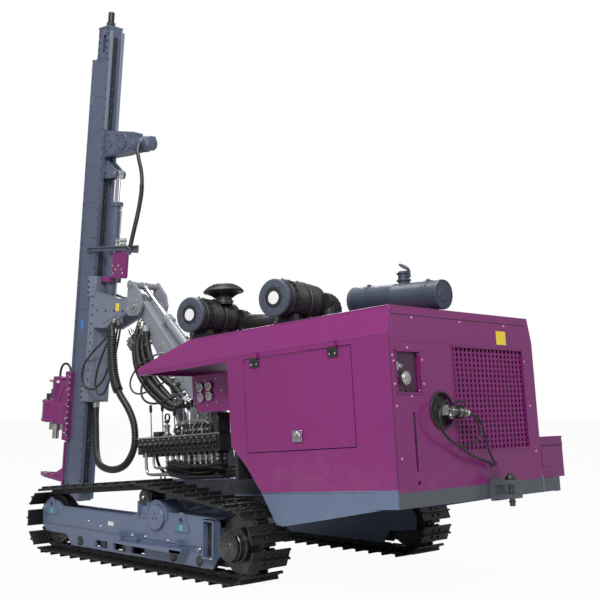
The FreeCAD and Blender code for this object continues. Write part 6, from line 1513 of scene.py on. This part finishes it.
def make_feed_gear():
    """Gear case, motor and bolts of the feed, the shift rod's lug and the hose arm."""
    case = Piece(MAST)
    for side, out in OUT.items():
        y = side * 65
        case.prism([(-60, 4100), (-60, 4350), (-505, 4292), (-505, 4124), (-380, 4102)],
                   "side", *depths(y, y + side * 5))
        case.ring(50, 88, 20, (-347, y, 4214), out, 48)
        case.turned([(0, 50), (8, 50), (8, 30), (14, 26), (14, 1)], (-347, y, 4214), out, 40)
        case.ring(26, 44, 14, (-130, y, 4226), out, 36)
    case.block((-540, -60, 4116), (-526, 60, 4300))
    case.turned([(0, 84), (12, 84), (16, 78)], MOTOR_END, "-x", 8)
    for n in range(6):
        at = 40 + n * 26
        case.turned([(at, 78), (at, 84), (at + 8, 84), (at + 8, 78)], MOTOR_END, "-x", 36, caps=False)
    case.turned([(246, 78), (252, 74), (256, 60), (256, 44), (262, 42), (262, 1)], MOTOR_END, "-x", 36,
                caps=False)
    case.block((-740, 20, 4134), (-690, 96, 4204))
    case.done("feed_gear_plates", mast_paint, "mast", "slate", 1.5, segments=2)
    bolts = Piece(MAST)
    for side, out in OUT.items():
        bolts.bolt_circle((-347, side * 85, 4214), out, 70, 10, 7, 7)
        bolts.bolts([(x, side * 70, z) for x, z in ((-80, 4130), (-80, 4320), (-250, 4300),
                                                    (-250, 4118), (-480, 4270),
                                                    (-480, 4140))], out, 9, 8)
    bolts.bolt_circle((-540, 0, 4170), "-x", 76, 4, 10, 9, 0.78)
    for z, way in ((4200, "z"), (4240, (-1, 0, 0.2))):
        bolts.turned([(0, 16), (20, 16), (22, 12), (40, 12)], (-715, -60, z), way, 6)
    bolts.done("feed_gear_bolts", dark_bolts, "mast", "steel", 0.5)
    lug = Piece(MAST)
    for side in SIDES:
        y = side * 56
        lug.ring(26, 44, 6, (SHIFT_AXIS, y, 3880), OUT[side], 32)
        lug.tube([(-60, y, 4028), (-274, y, 3902)], 4, 6)
    lug.done("shift_lug_plates", mast_paint, "mast", "slate", 1)
    eye = Piece(MAST)
    for side in SIDES:
        eye.turned([(0, 24), (10, 24), (13, 18), (13, 1)], (SHIFT_AXIS, side * 56, 3880), OUT[side], 24)
    eye.turned([(0, 31), (5, 35), (12, 35), (16, 31)], (SHIFT_AXIS, 0, 3834), "z", 32, caps=False)
    eye.done("shift_rod_end", steel, "mast", "silver", 0.8)
    arm = Piece(MAST)
    arm.tube([(-820, 128, 3062), (60, 128, 3062)], 6, 8)
    arm.bolts([(x, 122, 3055) for x in (20, 80)], "y", 9, 8)
    arm.turned([(-12, 26), (-12, 34), (12, 34), (12, 26)], (-800, 200, 3030), "z", 28, caps=False)
    arm.done("hose_arm_parts", dark_steel, "mast", "steel", 0.8)


HEAD_MOTOR = (610, 0, 1350)
GEAR_FOOT = (660, 0, 1110)


def make_head_details():
    """Sled, rotation head and spindle: strips, ports, motor bands and threads."""
    sled = Piece(MAST)
    for side in SIDES:
        y = side * SLED_HALF
        for low in (944, 1660):
            sled.slab((226, 338), (y, y + side * 8), (low, low + 36))
        sled.tube([(338, y, 960), (338, y, 1680)], 5, 8)
    sled.block((340, -100, 1360), (352, 100, 1690))
    sled.block((340, -110, 950), (352, 110, 1100))
    for near in (-96, 84):
        sled.prism([(352, 1600), (480, 1360), (500, 1360), (352, 1650)], "side", near, near + 12)
    sled.done("sled_plates", purple_paint, "head_sled", "purple", 2, segments=2)
    strips = Piece(MAST)
    for side in SIDES:
        strips.slab((234, 262), (side * SLED_HALF, side * 126), (984, 1656))
    strips.done("sled_wear_strips", dark_steel, "head_sled", "steel", 1)
    bolts = Piece(MAST)
    for side, out in OUT.items():
        bolts.bolts([(248, side * 126, 1000 + 64 * n) for n in range(11)], out, 9, 8)
        bolts.bolts([(300, side * SLED_HALF, 1020 + 158 * n) for n in range(5)], out, 10, 9)
    bolts.bolts([(352, y, z) for y in (-80, 80) for z in (980, 1070, 1400, 1520, 1640)], "x", 11, 10)
    bolts.bolt_circle((660, 0, 1350), "z", 138, 12, 11, 10)
    bolts.bolt_circle((610, 0, 1372), "z", 100, 8, 9, 8)
    bolts.bolt_circle(GEAR_FOOT, "-z", 130, 12, 9, 8)
    for angle in (0.5, 2.3, 3.9, 5.5):
        bolts.turned([(0, 18), (20, 18), (22, 13), (44, 13), (46, 18), (60, 18)],
                     (610 + 84 * math.cos(angle), 84 * math.sin(angle), 1560),
                     (math.cos(angle), math.sin(angle), 0.2), 8)
    bolts.done("head_bolts_and_ports", steel, "head_sled", "silver", 0.6)
    case = Piece(MAST)
    case.turned([(0, 164), (10, 168), (26, 168), (32, 161), (206, 161), (212, 168), (230, 168), (240, 162),
                 (240, 100)], GEAR_FOOT, "z", 56, caps=False)
    case.turned([(0, 118), (14, 118), (18, 112), (22, 92)], HEAD_MOTOR, "z", 44)
    for n in range(5):
        at = 50 + n * 36
        case.turned([(at, 88), (at + 2, 94), (at + 14, 94), (at + 16, 88)], HEAD_MOTOR, "z", 40, caps=False)
    case.turned([(262, 88), (270, 80), (276, 50), (276, 1)], HEAD_MOTOR, "z", 40, caps=False)
    case.done("rotation_head_shell", purple_paint, "head_sled", "purple", 1)
    box = Piece(MAST)
    box.block((690, -60, 1350), (800, 60, 1420))
    box.turned([(0, 34), (50, 34), (54, 28), (54, 1)], (740, 0, 1420), "z", 28)
    box.turned([(0, 20), (16, 20), (20, 14), (40, 14), (40, 1)], (800, 0, 1385), "x", 16)
    box.done("swivel_block", dark_steel, "head_sled", "steel", 1.2)
    nose = Piece(MAST)
    profile = [(0, 20), (2, 33)]
    for n in range(7):
        at = 6 + n * 11
        profile += [(at, 33), (at + 3, 38.5), (at + 7, 38.5), (at + 10, 33)]
    profile += [(92, 33), (96, 40), (100, 40), (104, 60), (108, 80), (164, 80), (170, 74), (170, 44)]
    nose.turned(profile, (650, 0, 920), "z", 36)
    nose.done("spindle_thread", steel, "spindle", "silver", 0.4)
    guide = Piece(MAST)
    guide.ring(47, 66, 12, (650, 0, 520), "z", 40)
    guide.ring(47, 60, 10, (650, 0, 480), "-z", 40)
    guide.block((306, -112, 400), (312, 112, 440))
    for near in (-82, 72):
        guide.prism([(300, 520), (560, 520), (300, 650)], "side", near, near + 10)
    guide.tube([(345, -112, 500), (712, -80, 500), (848, -34, 500), (848, 34, 500),
                (712, 80, 500), (345, 112, 500)],
               6, 8)
    guide.done("rod_guide_plates", purple_paint, "mast", "purple", 1.5)
    fix = Piece(MAST)
    fix.bolts([(306, y, z) for y in (-88, 88) for z in (560, 660, 760, 860, 940)], "x", 11, 10)
    fix.bolts([(650 + 100 * c, 60 * s, 520) for c,
               s in ((-0.8, 1), (-0.8, -1), (0.9, 0.4), (0.9, -0.4))], "z", 9, 8)
    fix.done("rod_guide_bolts", steel, "mast", "silver", 0.5)


make_head_and_cradle()
make_mast_details()
make_feed_gear()
make_head_details()


# Spiral guards and ends of the hoses

def route_of(cord):
    """Points along a hose's own spline, in metres."""
    plain = cord.data.copy()
    plain.bevel_depth = 0.0
    holder = bpy.data.objects.new("route", plain)
    mesh = bpy.data.meshes.new_from_object(holder)
    spots = [v.co.copy() for v in mesh.vertices]
    bpy.data.objects.remove(holder)
    bpy.data.meshes.remove(mesh)
    return spots


def spread_evenly(spots, gap):
    """The same line as points a fixed gap apart."""
    line, carry = [spots[0].copy()], 0.0
    for one, two in zip(spots, spots[1:]):
        run = (two - one).length
        at = gap - carry
        while at <= run:
            line.append(one.lerp(two, at / run))
            at += gap
        carry = run - (at - gap)
    return line


def spiral_guard(cord, name, body, radius, pitch, first=0.0, last=1.0, rise=5.0, steps=18):
    """A ribbed guard round part of a hose; the ribs stand out once in each pitch."""
    spots = spread_evenly(route_of(cord), pitch * 0.00025)
    spots = spots[int(len(spots) * first):int(len(spots) * last)]
    guard = Piece(Matrix.Scale(1000.0, 4))
    sizes = [(radius + (rise if k % 4 in (1, 2) else 0)) * 0.001 for k in range(len(spots))]
    guard.tube(spots, 0.0, steps, radii=sizes)
    guard.done(name, guard_plastic, body, "hose", 0, smooth=50)


def hose_ends(name, body, place, rows):
    """Swaged ferrules and hexagon nuts at hose ends: (end, way to the hose, hose radius)."""
    ends = Piece(place)
    for spot, way, radius in rows:
        ends.turned([(-34, radius * 0.8), (-34, radius * 1.15), (-16, radius * 1.15), (-14, radius * 0.8),
                     (-6, radius * 0.8), (-6, radius * 1.3), (8, radius * 1.3), (10, radius * 1.12),
                     (34, radius * 1.12), (44, radius * 1.18), (46, radius * 1.02)], spot, way, 18)
    ends.done(name, steel, body, "silver", 0.6)


by_name = {cord.name: cord for cord in cords}
spiral_guard(by_name["hose_bundle_curve"], "hose_bundle_guard", "boom", 31, 22)
spiral_guard(by_name["long_hose_curve"], "long_hose_guard", "cradle", 31, 24, 0.0, 0.99)
spiral_guard(by_name["long_hose_curve"], "long_hose_sleeve", "cradle", 46, 26, 0.10, 0.28, 7.0)
spiral_guard(by_name["feed_hose_curve"], "feed_hose_guard", "mast", 21, 16, 0.45, 1.0, 4.0, 14)
for n in (1, 2, 3, 4):
    spiral_guard(by_name[f"boom_hose_{n}_curve"], f"boom_hose_{n}_guard", "boom", 27 if n < 4 else 23, 20,
                 steps=14)
hose_ends("long_hose_ends", "cradle", MAST, [((-505, 128, 2262), (-0.3, 0.4, -1), 30),
                                             ((-96, 0, 1380), (0, 0, -1), 30)])
hose_ends("cradle_hose_ends", "cradle", MAST, [
    ((x, 110, z), (0, 0, -1), 11) for x, z in ((-400, 2218), (-562, 2288), (-440, 2238), (-612, 2312))])
hose_ends("boom_hose_ends", "boom", BOOM, [
    ((700, 92, -70), (0, 1, -0.3), 11), ((270, 92, -50), (0, 1, -0.1), 11), ((820, 92, -60), (0, 1, -0.3), 9),
    ((500, 92, -80), (0, 1, -0.4), 9), ((150, 116, -62), (-0.2, 1, -0.6), 26),
    ((210, 116, -70), (-0.6, 1, -0.4), 26),
    ((186, 116, -78), (-0.3, 1, -1), 26), ((270, 114, -78), (-0.7, 1, -0.4), 22),
    ((1140, 116, -80), (-0.3, 0.6, -1), 26),
    ((1190, 116, -84), (-0.5, 0.6, -1), 26), ((1240, 116, -86), (-1, 0.4, -0.8), 26),
    ((1290, 114, -88), (-1, 0.6, -0.8), 22)])


def make_hose_blocks():
    """The hose plates at the boom's foot and the valve block under its tip."""
    low = Piece(BOOM)
    low.block((120, 88, -110), (320, 98, -30))
    low.done("hose_plate_at_boom_foot", mast_paint, "boom", "slate", 2)
    high = Piece(BOOM)
    high.prism([(1090, -60), (1226, -60), (1226, -300), (1094, -300)], "side", -100, -90)
    high.block((1094, 92, -300), (1222, 186, -190))
    high.block((1110, 186, -284), (1204, 200, -206))
    high.done("valve_block_at_boom_tip", black_paint, "boom", "black", 3, segments=2)
    taps = Piece(BOOM)
    for n in range(3):
        for m in range(2):
            taps.turned([(0, 19), (12, 19), (14, 14), (20, 14), (22, 20), (34, 20), (36, 13), (42, 12)],
                        (1124 + 34 * n, 166 - 44 * m, -300), (0.35, 0.1, -1), 14)
        for z in (-228, -266):
            taps.turned([(0, 17), (16, 17), (18, 12), (28, 12)], (1122 + 34 * n, 200, z), "y", 6)
    for n in range(3):
        taps.turned([(0, 18), (24, 18), (26, 13), (50, 13), (52, 19), (72, 19), (74, 13), (84, 13)],
                    (1222, 112 + 30 * n, -214 - 36 * (n % 2)), (1, 0.2, 0.25), 14)
    taps.bolts([(x, 100, z) for x in (1120, 1196) for z in (-80, -150)], "y", 10, 9)
    taps.done("valve_block_fittings", steel, "boom", "silver", 0.6)
    labels = Piece(MAST)
    labels.block((-575, 125, 2390), (-515, 126.4, 2470))
    labels.done("cradle_plate_blank", yellow_label, "cradle", "silver", 0)
    blue = Piece(MAST)
    blue.block((118, 83, 2180), (176, 84.4, 2270))
    blue.done("mast_plate_blank", blue_label, "mast", "silver", 0)


make_hose_blocks()


# Floor, world and lamps

def pale_surroundings():
    """A pale floor and world that the camera and reflections see as near white."""
    world = bpy.data.worlds.new("studio")
    bpy.context.scene.world = world
    world.use_nodes = True
    tree = world.node_tree
    tree.nodes.clear()

    def add(kind, operation=None, inputs=()):
        made = tree.nodes.new(kind)
        if operation:
            made.operation = operation
        for socket, value in zip(made.inputs, inputs):
            if isinstance(value, bpy.types.NodeSocket):
                tree.links.new(value, socket)
            else:
                socket.default_value = value
        return made

    rays = add("ShaderNodeLightPath").outputs
    plain = add("ShaderNodeBackground", None, ((0.95, 0.97, 1.0, 1.0), 0.34))
    white = add("ShaderNodeBackground", None, ((1.0, 1.0, 1.0, 1.0), 1.0))
    seen = add("ShaderNodeMath", "MAXIMUM", (rays["Is Camera Ray"], rays["Is Transmission Ray"]))
    glossy = add("ShaderNodeMath", "MULTIPLY_ADD", (rays["Is Glossy Ray"], 0.10, seen.outputs[0]))
    blend = add("ShaderNodeMixShader", None, (glossy.outputs[0], plain.outputs[0], white.outputs[0]))
    add("ShaderNodeOutputWorld", None, (blend.outputs[0],))


def make_floor():
    """A wide pale floor that glows a little towards the camera."""
    mesh = bpy.data.meshes.new("floor")
    reach = 60.0
    mesh.from_pydata([(-reach, -reach, 0), (reach, -reach, 0), (reach, reach, 0), (-reach, reach, 0)], [],
                     [(0, 1, 2, 3)])
    floor = add_object("floor", mesh)
    f = Finish("pale_floor")
    light = f.node("ShaderNodeLightPath")
    glow = f.node("ShaderNodeEmission", {}, {"Color": (1.0, 1.0, 1.0, 1.0), "Strength": 1.0})
    cloud = f.noise(0.4, 3.0)
    f.finish(colour=f.mix(cloud, (0.50, 0.50, 0.51), (0.54, 0.54, 0.54)), rough=0.85)
    share = Value(f, light.outputs["Is Camera Ray"]) * 0.96
    both = f.node("ShaderNodeMixShader", {}, {0: share, 1: f.surface.outputs[0], 2: glow.outputs[0]})
    out = next(n for n in f.tree.nodes if n.type == "OUTPUT_MATERIAL")
    f.feed(out.inputs["Surface"], both.outputs[0])
    mesh.materials.append(f.material)


def lamp(name, place, target, size, power, colour=(1.0, 1.0, 1.0)):
    """A round area lamp aimed at a target."""
    data = bpy.data.lights.new(name, "AREA")
    data.shape, data.size, data.energy, data.color = "DISK", size, power, colour
    add_object(name, data).matrix_world = aimed(place, Vector(target) - Vector(place))


pale_surroundings()
make_floor()
lamp("key_lamp", (-6.5, 9.0, 8.5), (-0.5, 0.0, 1.6), 4.5, 1250, (1.0, 0.98, 0.96))
lamp("rear_lamp", (-10.5, -3.5, 5.5), (-1.0, 0.0, 1.5), 4.0, 130, (0.97, 0.98, 1.0))
lamp("top_lamp", (0.5, 1.0, 10.5), (0.0, 0.0, 1.0), 6.0, 620)
lamp("far_lamp", (7.5, -6.5, 6.0), (0.5, 0.0, 2.0), 5.0, 420, (0.96, 0.98, 1.0))


# CAD nodes that stay, and their finishes

def behind_sheet(name, colour, plane, normal):
    """The grille's purple sheet, and near-black painted shade on the core that stands behind it, with fin
    streaks.
    """
    f = Finish(name)
    depth = f.node("ShaderNodeVectorMath", {"operation": "DOT_PRODUCT"}, {0: f.place, 1: normal})
    inner = Value(f, depth.outputs["Value"]).spread(plane, plane + 0.002)
    cloud = f.noise(1.3, 4.0)
    core = f.noise(90.0, 2.0, (1.0, 1.0, 0.12)).spread(0.35, 0.65)
    sheet = f.mix(cloud, tint(colour, 0.9), tint(colour, 1.1))
    # Painted shade: everything behind the sheet's plane goes near black, for the shade inside the grille.
    dark = f.mix(core, (0.004, 0.004, 0.005), (0.022, 0.023, 0.025))
    return f.finish(colour=f.mix(inner, sheet, dark), rough=0.32 + inner * 0.3,
                    normal=f.bump(f.noise(330.0, 2.0), 0.05, 0.002))


def deck_and_pedestal():
    """Dark paint on the deck and the chassis, pale paint on the boom's pedestal above them."""
    f = Finish("deck_and_pedestal")
    height = f.node("ShaderNodeVectorMath", {"operation": "DOT_PRODUCT"}, {0: f.place, 1: tuple(HOUSE_RISE)})
    above = Value(f, height.outputs["Value"]).spread(DECK_HEIGHT + 0.006, DECK_HEIGHT + 0.010)
    cloud = f.noise(1.3, 4.0)
    dust = f.noise(9.0, 6.0, rough=0.7).spread(0.5, 0.8) * 0.2
    dark = f.mix(cloud, (0.030, 0.034, 0.044), (0.040, 0.045, 0.058))
    pale = f.mix(cloud, tint(BOOM_GREY, 0.9), tint(BOOM_GREY, 1.1))
    base = f.mix(dust, f.mix(above, dark, pale), DUST)
    return f.finish(colour=base, rough=0.40 + dust * 0.4, coat=0.25,
                    normal=f.bump(f.noise(330.0, 2.0), 0.05, 0.002))


HOUSE_RISE = HOUSE.to_3x3() @ Vector((0, 0, 1))
DECK_HEIGHT = (HOUSE @ Vector((0, 0, 0.730))).dot(HOUSE_RISE)
HOUSE_AHEAD = HOUSE.to_3x3() @ Vector((1, 0, 0))
GRILLE_PLANE = (HOUSE @ Vector((-2.755, 0, 1.2))).dot(HOUSE_AHEAD)
deck_finish = deck_and_pedestal()
grille_finish = behind_sheet("grille_sheet_and_shaded_core", PURPLE, GRILLE_PLANE, tuple(HOUSE_AHEAD))

NODE_FINISH = {
    "base_frame": deck_finish, "side_skirts": frame_paint, "rear_beam": beam_paint, "tow_pin": dark_steel,
    "track_frames": frame_paint, "track_left": track_steel, "track_right": track_steel,
    "track_wheels": black_paint, "engine_block": black_paint, "hood": purple_paint,
    "side_panels": purple_paint, "rear_panel": purple_paint, "rear_grille": grille_finish,
    "gauge_panel": purple_paint, "toolbox": purple_paint, "valve_bank": black_paint,
    "control_levers": steel, "air_filters": filter_plastic, "rain_cap": filter_plastic,
    "muffler": silencer_paint, "rear_fittings": steel, "rear_cable": hose_rubber,
    "hose_bundle": hose_rubber, "left_door": purple_paint, "right_door": purple_paint,
    "toolbox_lid": purple_paint, "rain_flap": silencer_paint, "boom": boom_paint,
    "lift_barrel": boom_paint, "lift_rod": chrome, "tilt_barrel": boom_paint, "tilt_rod": chrome,
    "boom_head": boom_paint, "cradle": cradle_paint, "shift_barrel": mast_paint, "mast": mast_paint,
    "feed_chain": dark_steel, "feed_gear": mast_paint, "shift_rod": chrome, "rod_guide": purple_paint,
    "feed_hose": hose_rubber, "head_sled": purple_paint, "rotation_head": purple_paint,
    "head_hose": hose_rubber, "drill_spindle": steel,
}
for label, material in NODE_FINISH.items():
    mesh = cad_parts[label].data
    mesh.materials.clear()
    mesh.materials.append(material)
